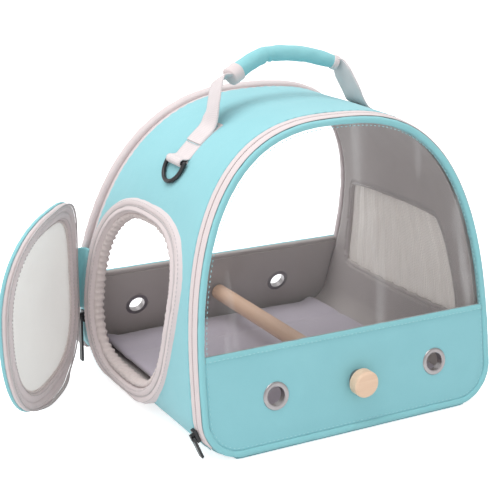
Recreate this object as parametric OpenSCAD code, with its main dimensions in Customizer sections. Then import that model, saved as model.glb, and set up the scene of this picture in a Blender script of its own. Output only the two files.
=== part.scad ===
// Bird travel carrier: a padded arch of fabric over a flat base, with zipped clear panels front and rear,
// a zipped mesh door in the left wall, a mesh window in the right wall, a perch and a carry handle.
// Millimetres. X runs across, Y from front to rear, Z up. The origin is on the ground under the middle.

/* [Cabin] */
// Width across the outside of the side walls
cabin_w = 300; // [270:1:340]
// Height of the arch at the middle, outside
cabin_h = 272; // [240:1:320]
// Depth between the front and rear panels at the ground
cabin_d = 294; // [270:1:340]
// Backward lean of the front panel in degrees
front_lean = 9; // [6:0.5:11]
// Forward lean of the rear panel in degrees
rear_lean = 19; // [15:0.5:21]
// Height at which the side walls begin to curve in
shoulder_z = 46; // [42:1:60]
// Squareness of the arch, where 2 is an ellipse
arch_power = 2.65; // [2.3:0.05:3]
// Inner radius of the two bottom corners
corner_r = 30; // [24:1:33]

/* [Wall layers] */
// Thickness of the outer fabric
cover_t = 1.2; // [0.8:0.1:2]
// Thickness of the padding between fabric and lining
pad_t = 5.8; // [5:0.1:9]
// Thickness of the lining
lining_t = 1; // [0.6:0.1:1.5]
// Width of each zip tape beside its teeth
tape_w = 4.8; // [4:0.2:7]
// Thickness of a zip tape
tape_t = 1.4; // [1:0.1:1.8]
// Thickness of the spring hoops sewn into the arch
hoop_t = 3; // [2:0.2:3.4]

/* [Front and rear panels] */
// Radial width of the front panel's piped rim
front_rim_w = 6; // [4:0.5:7]
// Radial width of the rear panel's rim, which stands out past the wall
rear_rim_w = 12.5; // [8:0.5:14]
// Depth of a rim, front to back
rim_depth = 8; // [6:0.5:9]
// How far a rim stands out from its panel
rim_proud = 2; // [1:0.5:3]
// Thickness of the piping cord inside a rim
cord_t = 2.4; // [1.6:0.2:3]
// Height of the fabric part of each panel
panel_h = 90; // [84:1:110]
// Width of the hem where the window meets the fabric
hem_w = 4.5; // [3:0.5:7]
// Thickness of the clear window film
film_t = 0.8; // [0.5:0.1:1]
// Thickness of the stiff board in each panel
board_t = 2.8; // [2:0.2:4]
// Spacing between the two eyelets of a panel
eyelet_spacing = 164; // [140:1:180]
// Height of the eyelets
eyelet_z = 47; // [38:1:56]
// Radius of the hole through an eyelet
eyelet_hole_r = 8.2; // [6:0.1:10]
// Radius of an eyelet's flange
eyelet_flange_r = 12.4; // [11.5:0.1:15]
// How far each panel's fittings sit to its own right
fitting_x = 4; // [0:1:10]

/* [Perch] */
// Radius of the perch
perch_r = 8; // [6:0.5:10]
// Height of the perch
perch_z = 46; // [38:1:54]
// Clearance between the perch's free end and the rear panel
perch_end_gap = 3; // [2:0.5:12]
// Radius of the knob
knob_r = 12; // [10:0.5:15]
// Thickness of the knob
knob_t = 11.5; // [9:0.5:15]
// Radius of the screw through the panel
screw_r = 2.5; // [2:0.1:3]
// Radius of the two seats that clamp the panel
seat_r = 9; // [7:0.5:10]

/* [Side door] */
// Distance of the doorway's front and rear edges from the cabin's ends
door_end_gap = 51.5; // [51.5:0.5:60]
// Half of the doorway ring's outer height
door_half_h = 93; // [78:1:93]
// Height of the doorway's centre
door_z = 98; // [98:1:104]
// Distance of the doorway's centre behind the middle
door_y = 1; // [-4:0.5:1]
// Forward slant of the doorway, in millimetres for each millimetre of height
door_slant = 0.2; // [0.18:0.01:0.24]
// Squareness of the doorway
door_power = 2.7; // [2.2:0.1:2.8]
// Width of the padded ring at the doorway's front and rear
ring_side_w = 20; // [14:1:24]
// Width of the padded ring at the doorway's top and foot
ring_top_w = 14; // [12:1:18]
// How far the padded ring stands out from the wall
ring_proud = 4.2; // [3:0.2:5]
// Depth of the door's fabric edge
door_depth = 8; // [6:0.5:11]
// Width of the door's border round its mesh
door_border = 13; // [10:1:16]
// Angle that the door stands open from closed, in degrees
door_open = 39; // [20:1:60]

/* [Right mesh window] */
// Height of the window's foot
window_foot = 63; // [56:1:70]
// Height of the window's top
window_top = 165; // [140:1:175]
// Distance of the window's rear edge from the rear plane at its top
window_rear_gap = 15.2; // [15.2:0.2:30]
// Distance of the window's front edge from the front plane at its foot
window_front_gap = 33; // [29:1:45]
// Number of pleats in the mesh
pleats = 9; // [5:1:12]

/* [Handle] */
// Width of the handle webbing
webbing_w = 26; // [20:1:30]
// Thickness of the handle webbing
webbing_t = 1.8; // [1.2:0.1:2.4]
// Distance of the handle's plane from the middle, towards the front
handle_y = 27; // [20:1:34]
// Distance of each handle root from the middle
handle_root_x = 74; // [70:1:84]
// Half of the padded grip's length
grip_half = 57; // [50:1:60]
// Radius of the padded grip
grip_r = 7; // [5.5:0.5:8]
// Height of the grip's middle above its hinge line
grip_rise = 41; // [38:1:50]
// Height that the grip's ends drop below its middle
grip_drop = 16; // [10:1:20]
// Backward tilt at which the handle stands, in degrees
handle_tilt = 25; // [0:1:35]
// Distance of each D-ring's bar from the middle, measured on the wall
ring_x = 111; // [104:1:116]
// Radius of the wire of each D-ring
ring_wire_r = 1.9; // [1.5:0.1:2.2]
// Length of each D-ring below its bar
ring_drop = 21; // [18:1:25]

/* [Floor mat] */
// Thickness of the mat's edge
mat_edge_t = 8.5; // [6:0.5:12]
// Extra height of the mat's crown
mat_crown = 4; // [2:0.5:7]
// Depth of the sewn channels
channel_depth = 1.6; // [0.8:0.2:2.4]
// Distance between the sewn channels
channel_pitch = 70; // [50:1:80]

/* [Hidden] */

$fn = 48;
wall_t = cover_t + pad_t + lining_t;
inner_half_w = cabin_w/2 - wall_t;
inner_floor_z = wall_t;
arch_rise = cabin_h - wall_t - shoulder_z;
arch_step = 5;
corner_step = 15;
far = 2*cabin_d;
// Running gap between pieces of different bodies
gap = 0.4;
// Where the zip's teeth meet, measured inwards from a panel's plane
teeth_in = rim_depth;
teeth_w = 1.2;
// Where the wall's cover ends and the shell's half of the zip begins
cover_in = teeth_in + gap/2 + tape_w;
// The zips run up and over from this height
zip_foot_z = 14;
aqua = [0.55, 0.84, 0.88];
tape_grey = [0.86, 0.81, 0.8];
lining_grey = [0.5, 0.48, 0.48];
mesh_white = [0.9, 0.89, 0.87];
metal_dark = [0.35, 0.35, 0.37];
wood = [0.85, 0.7, 0.55];
black = [0.1, 0.1, 0.1];

// ---- the arch ----

// A point of the arch at the polar angle phi, at offset d outside the lining
function arch_point(phi, d) =
    let (a = inner_half_w + d,
         b = arch_rise + d,
         r = pow(pow(abs(cos(phi))/a, arch_power) + pow(abs(sin(phi))/b, arch_power), -1/arch_power))
    [r*cos(phi), shoulder_z + r*sin(phi)];

// The arch's outward direction at the polar angle phi
function arch_normal(phi, d) =
    let (p = arch_point(phi, d),
         a = inner_half_w + d,
         b = arch_rise + d,
         nx = sign(p[0])*pow(abs(p[0])/a, arch_power - 1)/a,
         nz = pow((p[1] - shoulder_z)/b, arch_power - 1)/b)
    [nx, nz]/norm([nx, nz]);

// Half width of the lining at height z on the arch
function half_width(z, d) =
    let (t = max(0, (z - shoulder_z)/(arch_rise + d)))
    (inner_half_w + d)*pow(max(0, 1 - pow(t, arch_power)), 1/arch_power);

// A bottom corner's point
function corner_point(side, turn, d) =
    [side*(inner_half_w - corner_r) + (corner_r + d)*cos(turn),
     inner_floor_z + corner_r + (corner_r + d)*sin(turn)];

// The closed outline of the cabin at offset d, with heights stretched onto a leaning plane
function outline(d, stretch = 1) = [for (p = concat(
    [for (t = [-90:corner_step:0]) corner_point(1, t, d)],
    [for (phi = [0:arch_step:180]) arch_point(phi, d)],
    [for (t = [180:corner_step:270]) corner_point(-1, t, d)])) [p[0], p[1]*stretch]];

// A ring between two offsets, run from front to rear
module band(d_in, d_out) {
    rotate([90, 0, 0])
    linear_extrude(far, center = true)
    difference() {
        polygon(outline(d_out));
        polygon(outline(d_in));
    }
}

function front_y(z, inset) = -cabin_d/2 + z*tan(front_lean) + inset/cos(front_lean);
function rear_y(z, inset) = cabin_d/2 - z*tan(rear_lean) - inset/cos(rear_lean);

// A slab that runs across the cabin, bounded by the lines y_a and y_b in the side view
module side_slab(y_a_low, y_a_high, y_b_low, y_b_high) {
    z_low = -cabin_h/4;
    rotate([90, 0, 90])
    linear_extrude(far, center = true)
    polygon([[y_a_low, z_low], [y_b_low, z_low], [y_b_high, 2*cabin_h], [y_a_high, 2*cabin_h]]);
}

// Everything between the front and rear planes, drawn in by the two insets
module between_planes(front_inset, rear_inset) {
    low = -cabin_h/4;
    high = cabin_h*1.25;
    rotate([90, 0, 90])
    linear_extrude(far, center = true)
    polygon([[front_y(low, front_inset), low], [rear_y(low, rear_inset), low],
        [rear_y(high, rear_inset), high], [front_y(high, front_inset), high]]);
}

module front_slice(inset_a, inset_b) {
    low = -cabin_h/4;
    high = cabin_h*1.25;
    rotate([90, 0, 90])
    linear_extrude(far, center = true)
    polygon([[front_y(low, inset_a), low], [front_y(low, inset_b), low],
        [front_y(high, inset_b), high], [front_y(high, inset_a), high]]);
}

module rear_slice(inset_a, inset_b) {
    low = -cabin_h/4;
    high = cabin_h*1.25;
    rotate([90, 0, 90])
    linear_extrude(far, center = true)
    polygon([[rear_y(low, inset_b), low], [rear_y(low, inset_a), low],
        [rear_y(high, inset_a), high], [rear_y(high, inset_b), high]]);
}

// Keeps what lies above, or below, a height
module above(z) {
    translate([-far/2, -far/2, z])
    cube([far, far, 2*cabin_h]);
}

module below(z) {
    translate([-far/2, -far/2, z - cabin_h])
    cube([far, far, cabin_h]);
}

// ---- the doorway in the left wall ----

door_half_d = cabin_d/2 - door_end_gap;
// The doorway's outline in the side view, grown by the two margins
function doorway(grow_d, grow_h) = [for (phi = [0:7.5:359]) let (
    a = door_half_d + grow_d,
    b = door_half_h + grow_h,
    r = pow(pow(abs(cos(phi))/a, door_power) + pow(abs(sin(phi))/b, door_power), -1/door_power))
    [door_y + r*cos(phi) - door_slant*r*sin(phi), door_z + r*sin(phi)]];

// The doorway's outline run through the left wall
module doorway_prism(grow_d, grow_h) {
    translate([-cabin_w*0.75, 0, 0])
    rotate([90, 0, 90])
    linear_extrude(cabin_w/2)
    polygon(doorway(grow_d, grow_h));
}

// The part of the wall's ring at offsets d_in to d_out that lies between two doorway outlines
module doorway_piece(d_in, d_out, outer_d, outer_h, inner_d, inner_h) {
    difference() {
        intersection() {
            band(d_in, d_out);
            doorway_prism(outer_d, outer_h);
        }
        doorway_prism(inner_d, inner_h);
    }
}

// ---- the window in the right wall ----

window_rear = rear_y(window_top, 0) - window_rear_gap;
window_front = -front_y(window_foot, 0) - window_front_gap;
window_lean = tan(front_lean)*1.6;
window_rear_lean = tan(rear_lean)*0.6;
function window_outline(grow) = let (
    top = window_top + grow,
    foot = window_foot - grow,
    front_foot = -window_front - grow,
    front_top = -window_front + (window_top - window_foot)*window_lean - grow,
    rear_top = window_rear + grow,
    rear_foot = window_rear + (window_top - window_foot)*window_rear_lean + grow,
    cut = 10)
    [[front_foot + cut, foot], [rear_foot - cut, foot], [rear_foot - 1, foot + cut],
     [rear_top + 1, top - cut], [rear_top - cut, top], [front_top + cut, top],
     [front_top - 1, top - cut], [front_foot + 1, foot + cut]];

module window_prism(grow) {
    translate([cabin_w*0.25, 0, 0])
    rotate([90, 0, 90])
    linear_extrude(cabin_w/2)
    polygon(window_outline(grow));
}

module wall_openings(window_margin) {
    doorway_prism(-ring_side_w, -ring_top_w);
    window_prism(window_margin);
}

// ---- shell ----

module shell_cover() {
    color(aqua)
    difference() {
        intersection() {
            band(wall_t - cover_t, wall_t);
            between_planes(cover_in, cover_in);
            above(inner_floor_z);
        }
        wall_openings(0);
    }
}

hoop_d = lining_t + (pad_t - hoop_t)/2;
hoop_in = cover_in - tape_w + 2;

module hoop_ring(front) {
    intersection() {
        band(hoop_d, hoop_d + hoop_t);
        if (front) front_slice(hoop_in, hoop_in + hoop_t);
        else rear_slice(hoop_in, hoop_in + hoop_t);
        above(inner_floor_z);
    }
}

module wall_pad() {
    color("white")
    difference() {
        intersection() {
            band(lining_t, lining_t + pad_t);
            between_planes(teeth_in + 1.8, teeth_in + 1.8);
            above(inner_floor_z);
        }
        wall_openings(0);
        hoop_ring(true);
        hoop_ring(false);
    }
}

module front_hoop() {
    color(metal_dark)
    hoop_ring(true);
}

module rear_hoop() {
    color(metal_dark)
    hoop_ring(false);
}

module shell_lining() {
    color(lining_grey)
    difference() {
        intersection() {
            band(0, lining_t);
            between_planes(teeth_in + 0.6, teeth_in + 0.6);
            above(inner_floor_z);
        }
        wall_openings(0);
    }
}

module base_cover() {
    color(aqua)
    intersection() {
        band(wall_t - cover_t, wall_t);
        between_planes(-rim_proud/2, -rim_proud/2);
        below(inner_floor_z);
        union() {
            between_planes(teeth_in + gap, teeth_in + gap);
            below(cover_t);
        }
    }
}

module base_board() {
    color("dimgray")
    intersection() {
        band(lining_t, lining_t + pad_t);
        between_planes(teeth_in + 1.8, teeth_in + 1.8);
        below(inner_floor_z);
    }
}

module base_lining() {
    color(lining_grey)
    intersection() {
        band(0, lining_t);
        between_planes(teeth_in + 0.6, teeth_in + 0.6);
        below(inner_floor_z);
    }
}

// ---- zips of the front and rear panels ----

module front_zip_shell_half() {
    color(tape_grey)
    intersection() {
        union() {
            intersection() {
                band(wall_t - cover_t, wall_t - cover_t + tape_t);
                front_slice(teeth_in + gap/2 + teeth_w, cover_in);
            }
            intersection() {
                band(wall_t - 1.8, wall_t - 0.2);
                front_slice(teeth_in + gap/2, teeth_in + gap/2 + teeth_w);
            }
        }
        above(zip_foot_z);
    }
}

module rear_zip_shell_half() {
    color(tape_grey)
    intersection() {
        union() {
            intersection() {
                band(wall_t - cover_t, wall_t - cover_t + tape_t);
                rear_slice(teeth_in + gap/2 + teeth_w, cover_in);
            }
            intersection() {
                band(wall_t - 1.8, wall_t - 0.2);
                rear_slice(teeth_in + gap/2, teeth_in + gap/2 + teeth_w);
            }
        }
        above(zip_foot_z);
    }
}

// ---- leaning panels: local X across, local Y up the panel, local Z outwards ----

front_stretch = 1/cos(front_lean);
rear_stretch = 1/cos(rear_lean);

module front_frame() {
    translate([0, -cabin_d/2, 0])
    rotate([-front_lean, 0, 0])
    rotate([90, 0, 0])
    children();
}

module rear_frame() {
    translate([0, cabin_d/2, 0])
    rotate([0, 0, 180])
    rotate([-rear_lean, 0, 0])
    rotate([90, 0, 0])
    children();
}

// A ring of the outline in a panel's plane, from w_low to w_high outwards
module panel_ring(d_in, d_out, w_low, w_high, stretch) {
    translate([0, 0, w_low])
    linear_extrude(w_high - w_low)
    difference() {
        polygon(outline(d_out, stretch));
        polygon(outline(d_in, stretch));
    }
}

// The panel's area inside its rim, between two heights
module panel_sheet(w_low, w_high, h_low, h_high, stretch) {
    intersection() {
        translate([0, 0, w_low])
        linear_extrude(w_high - w_low)
        polygon(outline(0, stretch));
        translate([-cabin_w/2, h_low, w_low - 1])
        cube([cabin_w, h_high - h_low, w_high - w_low + 2]);
    }
}

// Keeps what lies above a height up the panel
module panel_above(h) {
    translate([-cabin_w, h, -far/4])
    cube([2*cabin_w, 2*cabin_h, far/2]);
}

rim_in = rim_depth - rim_proud;

// A panel's rim ends just above the base cover, at its inner edge, which the lean brings lowest
function rim_foot(stretch) = (cover_t + gap + rim_in*sqrt(1 - 1/pow(stretch, 2)))*stretch;

cord_d = (front_rim_w - cord_t)/2;

module panel_rim(rim_w, stretch) {
    edge = 0.8;
    intersection() {
        difference() {
            union() {
                panel_ring(0, rim_w, -rim_in, rim_proud/3, stretch);
                panel_ring(edge, rim_w - edge, rim_proud/3, rim_proud*0.75, stretch);
                panel_ring(2*edge, rim_w - 2*edge, rim_proud*0.75, rim_proud, stretch);
            }
            panel_ring(cord_d, cord_d + cord_t, -rim_in/2 - cord_t/2, -rim_in/2 + cord_t/2, stretch);
        }
        panel_above(rim_foot(stretch));
    }
}

module panel_rim_cord(stretch) {
    intersection() {
        panel_ring(cord_d, cord_d + cord_t, -rim_in/2 - cord_t/2, -rim_in/2 + cord_t/2, stretch);
        panel_above(rim_foot(stretch));
    }
}

// The panel's half of the zip: its teeth lie just inside the shell's half
module panel_zip_half(rim_w, stretch) {
    intersection() {
        union() {
            if (rim_w + tape_t < wall_t) panel_ring(rim_w, rim_w + tape_t, -rim_in, -0.5, stretch);
            panel_ring(wall_t - 3, wall_t - 0.2, -teeth_in + gap/2, -rim_in, stretch);
        }
        panel_above(zip_foot_z*stretch);
    }
}

sheet_t = cover_t + board_t + lining_t;
film_out = -cover_t*0.6;
film_in = film_out - film_t;

module panel_window(stretch) {
    panel_sheet(film_in, film_out, panel_h - hem_w/2, cabin_h*1.2, stretch);
}

module panel_hem(stretch) {
    difference() {
        panel_sheet(-sheet_t - 0.6, 0.6, panel_h - hem_w, panel_h, stretch);
        panel_sheet(film_in, film_out, panel_h - hem_w/2, cabin_h*1.2, stretch);
    }
}

barrel_t = 1;
flange_t = 1.1;

// Where the eyelets sit in a panel's own frame
module at_eyelets(stretch) {
    for (side = [-1, 1])
        translate([fitting_x + side*eyelet_spacing/2, eyelet_z*stretch, 0])
        children();
}

module panel_layer(w_low, w_high, screw_hole, stretch) {
    difference() {
        panel_sheet(w_low, w_high, 0, panel_h - hem_w, stretch);
        at_eyelets(stretch)
        translate([0, 0, w_low - 1])
        cylinder(r = eyelet_hole_r + barrel_t, h = w_high - w_low + 2);
        if (screw_hole)
            translate([fitting_x, perch_z*stretch, w_low - 1])
            cylinder(r = screw_r*1.6, h = w_high - w_low + 2);
    }
}

module panel_eyelets(stretch) {
    at_eyelets(stretch)
    rotate_extrude()
    polygon([[eyelet_hole_r, -sheet_t - flange_t], [eyelet_flange_r - 0.6, -sheet_t - flange_t],
        [eyelet_flange_r - 0.6, -sheet_t], [eyelet_hole_r + barrel_t, -sheet_t],
        [eyelet_hole_r + barrel_t, 0], [eyelet_flange_r, 0], [eyelet_flange_r - 0.5, flange_t*0.7],
        [eyelet_flange_r - 1.6, flange_t], [eyelet_hole_r + 0.9, flange_t], [eyelet_hole_r, flange_t*0.5]]);
}

module front_rim() {
    color(aqua)
    front_frame()
    panel_rim(front_rim_w, front_stretch);
}

module front_rim_cord() {
    color("white")
    front_frame()
    panel_rim_cord(front_stretch);
}

module front_window() {
    color([0.9, 0.95, 1, 0.3])
    front_frame()
    panel_window(front_stretch);
}

module front_panel_cover() {
    color(aqua)
    front_frame()
    panel_layer(-cover_t, 0, true, front_stretch);
}

module front_panel_board() {
    color("dimgray")
    front_frame()
    panel_layer(-cover_t - board_t, -cover_t, true, front_stretch);
}

module front_panel_lining() {
    color(lining_grey)
    front_frame()
    panel_layer(-sheet_t, -cover_t - board_t, true, front_stretch);
}

module front_hem() {
    color(aqua)
    front_frame()
    panel_hem(front_stretch);
}

module front_eyelets() {
    color(metal_dark)
    front_frame()
    panel_eyelets(front_stretch);
}

module front_zip_panel_half() {
    color(tape_grey)
    front_frame()
    panel_zip_half(front_rim_w, front_stretch);
}

module rear_rim() {
    color(tape_grey)
    rear_frame()
    panel_rim(rear_rim_w, rear_stretch);
}

module rear_rim_cord() {
    color("white")
    rear_frame()
    panel_rim_cord(rear_stretch);
}

module rear_window() {
    color([0.9, 0.95, 1, 0.3])
    rear_frame()
    panel_window(rear_stretch);
}

module rear_panel_cover() {
    color(aqua)
    rear_frame()
    panel_layer(-cover_t, 0, false, rear_stretch);
}

module rear_panel_board() {
    color("dimgray")
    rear_frame()
    panel_layer(-cover_t - board_t, -cover_t, false, rear_stretch);
}

module rear_panel_lining() {
    color(lining_grey)
    rear_frame()
    panel_layer(-sheet_t, -cover_t - board_t, false, rear_stretch);
}

module rear_hem() {
    color(aqua)
    rear_frame()
    panel_hem(rear_stretch);
}

module rear_eyelets() {
    color(metal_dark)
    rear_frame()
    panel_eyelets(rear_stretch);
}

module rear_zip_panel_half() {
    color(tape_grey)
    rear_frame()
    panel_zip_half(rear_rim_w, rear_stretch);
}

// ---- perch ----

perch_front_y = front_y(perch_z + seat_r, sheet_t) + 2;
perch_rear_y = rear_y(perch_z + perch_r, sheet_t + flange_t) - perch_end_gap;
knob_rear_y = front_y(perch_z - seat_r, 0) - 2;
knob_clearance = 0.25;
screw_in_perch = 22;
screw_in_knob = knob_t - 3;

// Along the perch's level axis, from one depth to another
module along_perch(y_from, y_to, radius) {
    translate([fitting_x, y_to, perch_z])
    rotate([90, 0, 0])
    cylinder(r = radius, h = y_to - y_from);
}

module perch() {
    color(wood)
    difference() {
        along_perch(perch_front_y, perch_rear_y, perch_r);
        along_perch(perch_front_y - 1, perch_front_y + screw_in_perch, screw_r);
    }
}

module perch_screw() {
    color(metal_dark)
    along_perch(knob_rear_y - screw_in_knob, perch_front_y + screw_in_perch, screw_r);
}

// Two wedge-faced seats that let the level screw pull on the leaning panel
module perch_seats() {
    color(metal_dark)
    difference() {
        union() {
            intersection() {
                along_perch(knob_rear_y, perch_front_y, seat_r);
                front_slice(-3*seat_r, 0);
            }
            intersection() {
                along_perch(knob_rear_y, perch_front_y, seat_r);
                front_slice(sheet_t, sheet_t + 3*seat_r);
            }
        }
        along_perch(knob_rear_y - 1, perch_front_y + 1, screw_r);
    }
}

module perch_knob() {
    bevel = 1.6;
    bore = screw_r + knob_clearance;
    depth = screw_in_knob + 0.5;
    color(wood)
    translate([fitting_x, knob_rear_y - knob_clearance, perch_z])
    rotate([90, 0, 0])
    rotate_extrude()
    polygon([[bore, 0], [knob_r - bevel, 0], [knob_r, bevel], [knob_r, knob_t - bevel],
        [knob_r - bevel*0.4, knob_t - bevel*0.4], [knob_r - bevel, knob_t], [0, knob_t],
        [0, depth], [bore, depth]]);
}

// ---- side doorway and door ----

zip_line = 9;
zip_line_w = 2;
fringe_w = 3.5;
ring_out = wall_t + ring_proud;

module doorway_zip_groove() {
    doorway_piece(ring_out - 1, ring_out + 1, -zip_line, -zip_line,
        -zip_line - zip_line_w, -zip_line - zip_line_w);
}

module doorway_ring() {
    color(tape_grey)
    difference() {
        doorway_piece(wall_t, ring_out, 0, 0, -ring_side_w, -ring_top_w);
        doorway_zip_groove();
    }
}

module doorway_zip_half() {
    color(black)
    doorway_piece(ring_out - 1, ring_out, -zip_line, -zip_line,
        -zip_line - zip_line_w, -zip_line - zip_line_w);
}

module doorway_fringe() {
    color(mesh_white)
    doorway_piece(lining_t, wall_t - 1, -ring_side_w, -ring_top_w,
        -ring_side_w - fringe_w, -ring_top_w - fringe_w);
}

hinge_foot = 60;
hinge_top = 124;
hinge_reach = 5;

module door_hinge_strip() {
    color(aqua)
    intersection() {
        doorway_piece(wall_t + 0.4, ring_out, hinge_reach, hinge_reach, 0, 0);
        translate([-cabin_w, 0, hinge_foot])
        cube([cabin_w, cabin_d, hinge_top - hinge_foot]);
    }
}

// The door's vertical hinge line stands just behind its rear edge
door_hinge_x = -(inner_half_w + ring_out + gap + 1.6);
door_hinge_y = door_y + door_half_d + 7;
door_in = ring_out + gap;
door_out = door_in + door_depth;
edge_w = 3;
piping_w = 2.2;
border_w = edge_w + door_border;

// Swings the closed door out to where it stands
module swung_open() {
    translate([door_hinge_x, door_hinge_y, 0])
    rotate([0, 0, -door_open])
    translate([-door_hinge_x, -door_hinge_y, 0])
    children();
}

fold_r = -door_hinge_x - inner_half_w - door_in;

// The door's half of the fabric hinge, folded round the hinge line
module door_hinge_fold() {
    fold_foot = hinge_foot + 2;
    fold_h = 22;
    color(aqua)
    swung_open()
    difference() {
        translate([door_hinge_x, 0, fold_foot]) {
            translate([0, door_hinge_y, 0])
            cylinder(r = fold_r, h = fold_h, $fn = 24);
            translate([-0.6, door_hinge_y - 8, 0])
            cube([1.2, 8, fold_h]);
        }
        doorway_prism(0, 0);
    }
}

module door_edge_band() {
    color(aqua)
    swung_open()
    doorway_piece(door_in + 1, door_out, 0, 0, -edge_w, -edge_w);
}

module door_border_pad() {
    color(tape_grey)
    swung_open()
    doorway_piece(door_in + 1.4, door_out - 0.8, -edge_w, -edge_w, -border_w, -border_w);
}

module door_piping() {
    color(aqua)
    swung_open()
    doorway_piece(door_in + 2.6, door_out - 1.8, -border_w, -border_w,
        -border_w - piping_w, -border_w - piping_w);
}

module door_mesh() {
    mesh_d = (door_in + door_out)/2;
    color([0.93, 0.93, 0.92, 0.6])
    swung_open()
    intersection() {
        band(mesh_d - 0.5, mesh_d + 0.5);
        doorway_prism(-border_w - piping_w, -border_w - piping_w);
    }
}

module door_zip_half() {
    color(black)
    swung_open()
    doorway_piece(door_in, door_in + 1, -0.4, -0.4, -edge_w + 0.4, -edge_w + 0.4);
}

// ---- zip sliders and their pulls ----

slider_l = 11;
slider_w = 7;
slider_t = 3;
pull_w = 6;
pull_t = 1.6;
eye_r = 1.1;

// A slider lies along its zip: local X outwards, local Z along the zip
module slider_body() {
    difference() {
        union() {
            translate([0, -slider_w/2, -slider_l/2])
            cube([slider_t, slider_w, slider_l]);
            translate([slider_t, -1.5, -3])
            cube([3.4, 3, 6]);
        }
        translate([slider_t + 1.6, 0, 0])
        rotate([90, 0, 0])
        cylinder(r = eye_r + 0.25, h = 10, center = true, $fn = 24);
    }
}

// A pull: its pin runs along local Y through the slider's eye, and its tab points down local Z
module pull_tab(length) {
    arm = 1.2;
    rotate([90, 0, 0])
    cylinder(r = eye_r, h = pull_w, center = true, $fn = 24);
    for (side = [-1, 1])
        translate([-eye_r, side*(pull_w/2 - arm/2) - arm/2, -5.4])
        cube([2*eye_r, arm, 5.4]);
    translate([-eye_r, -pull_w/2, -length])
    cube([2*eye_r, pull_w, length - 4.6]);
}

// Where the bottom corner's zip sliders sit: an angle round the corner
slider_turn = 22;

// Places a slider on the front or rear zip: side is -1 for left, 1 for right
module at_corner(side, y_mid) {
    translate([side*(inner_half_w - corner_r), y_mid, inner_floor_z + corner_r])
    mirror([side < 0 ? 1 : 0, 0, 0])
    rotate([0, slider_turn, 0])
    translate([corner_r + wall_t + 0.5, 0, 0])
    children();
}

slider_z = inner_floor_z + corner_r - (corner_r + wall_t)*sin(slider_turn);
front_slider_y = front_y(slider_z, teeth_in + 4);
rear_slider_y = rear_y(slider_z, teeth_in + 4);

module front_zip_slider() {
    color(black)
    at_corner(-1, front_slider_y)
    slider_body();
}

module rear_zip_slider() {
    color(black)
    at_corner(1, rear_slider_y)
    slider_body();
}

front_pull_l = 21;
// Angle of the front pull from hanging straight down, towards the middle
front_pull_turn = 24;

module front_zip_pull() {
    color(black)
    at_corner(-1, front_slider_y)
    translate([slider_t + 1.6, 0, 0])
    rotate([0, front_pull_turn - slider_turn, 0])
    pull_tab(front_pull_l);
}

module rear_zip_pull() {
    color(black)
    at_corner(1, rear_slider_y)
    translate([slider_t + 1.6, 0, 0])
    rotate([0, -slider_turn, 0])
    pull_tab(front_pull_l);
}

door_slider_z = 51;
door_slider_y = door_hinge_y + 1.5;
door_pull_l = 46;

module door_zip_slider() {
    color(black)
    translate([-inner_half_w - wall_t, door_slider_y, door_slider_z])
    mirror([1, 0, 0])
    slider_body();
}

module door_zip_pull() {
    color(black)
    translate([-inner_half_w - wall_t - slider_t - 1.6, door_slider_y, door_slider_z])
    pull_tab(door_pull_l);
}

// ---- right mesh window ----

binding_w = 4;
mesh_d = 2.2;
mesh_t = 0.8;
pleat_t = 1.2;

module window_piece(d_in, d_out, grow_out, grow_in) {
    difference() {
        intersection() {
            band(d_in, d_out);
            window_prism(grow_out);
        }
        window_prism(grow_in);
    }
}

module mesh_window() {
    pitch = (window_front + window_rear + 10)/pleats;
    color(mesh_white)
    union() {
        intersection() {
            band(mesh_d, mesh_d + mesh_t);
            window_prism(-1.5);
        }
        intersection() {
            band(mesh_d + mesh_t - 0.1, mesh_d + mesh_t + pleat_t);
            window_prism(-binding_w);
            union() for (i = [0:pleats - 1])
                translate([0, -window_front + pitch*(i + 0.5) - pitch*0.12, 0])
                cube([cabin_w, pitch*0.24, cabin_h]);
        }
    }
}

module mesh_window_frame() {
    color(lining_grey)
    difference() {
        window_piece(0.4, wall_t + 0.6, 0, -binding_w);
        intersection() {
            band(mesh_d, mesh_d + mesh_t);
            window_prism(-1.5);
        }
    }
}

// ---- floor mat ----

mat_half_w = inner_half_w - 14;
mat_front_y = front_y(inner_floor_z + mat_edge_t, sheet_t + 2);
mat_rear_y = rear_y(inner_floor_z + mat_edge_t, sheet_t + 2);
mat_top = inner_floor_z + mat_edge_t;

// Height of the mat's underside at a distance from the middle
function mat_foot(x) =
    let (over = max(0, abs(x) - (inner_half_w - corner_r)))
    inner_floor_z + corner_r - sqrt(pow(corner_r - 0.3, 2) - over*over);

module mat_channel(y) {
    translate([0, y, mat_top + mat_crown])
    rotate([90, 0, 90])
    linear_extrude(2*cabin_w, center = true)
    polygon([[-5, 2], [0, -channel_depth], [5, 2]]);
}

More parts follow.
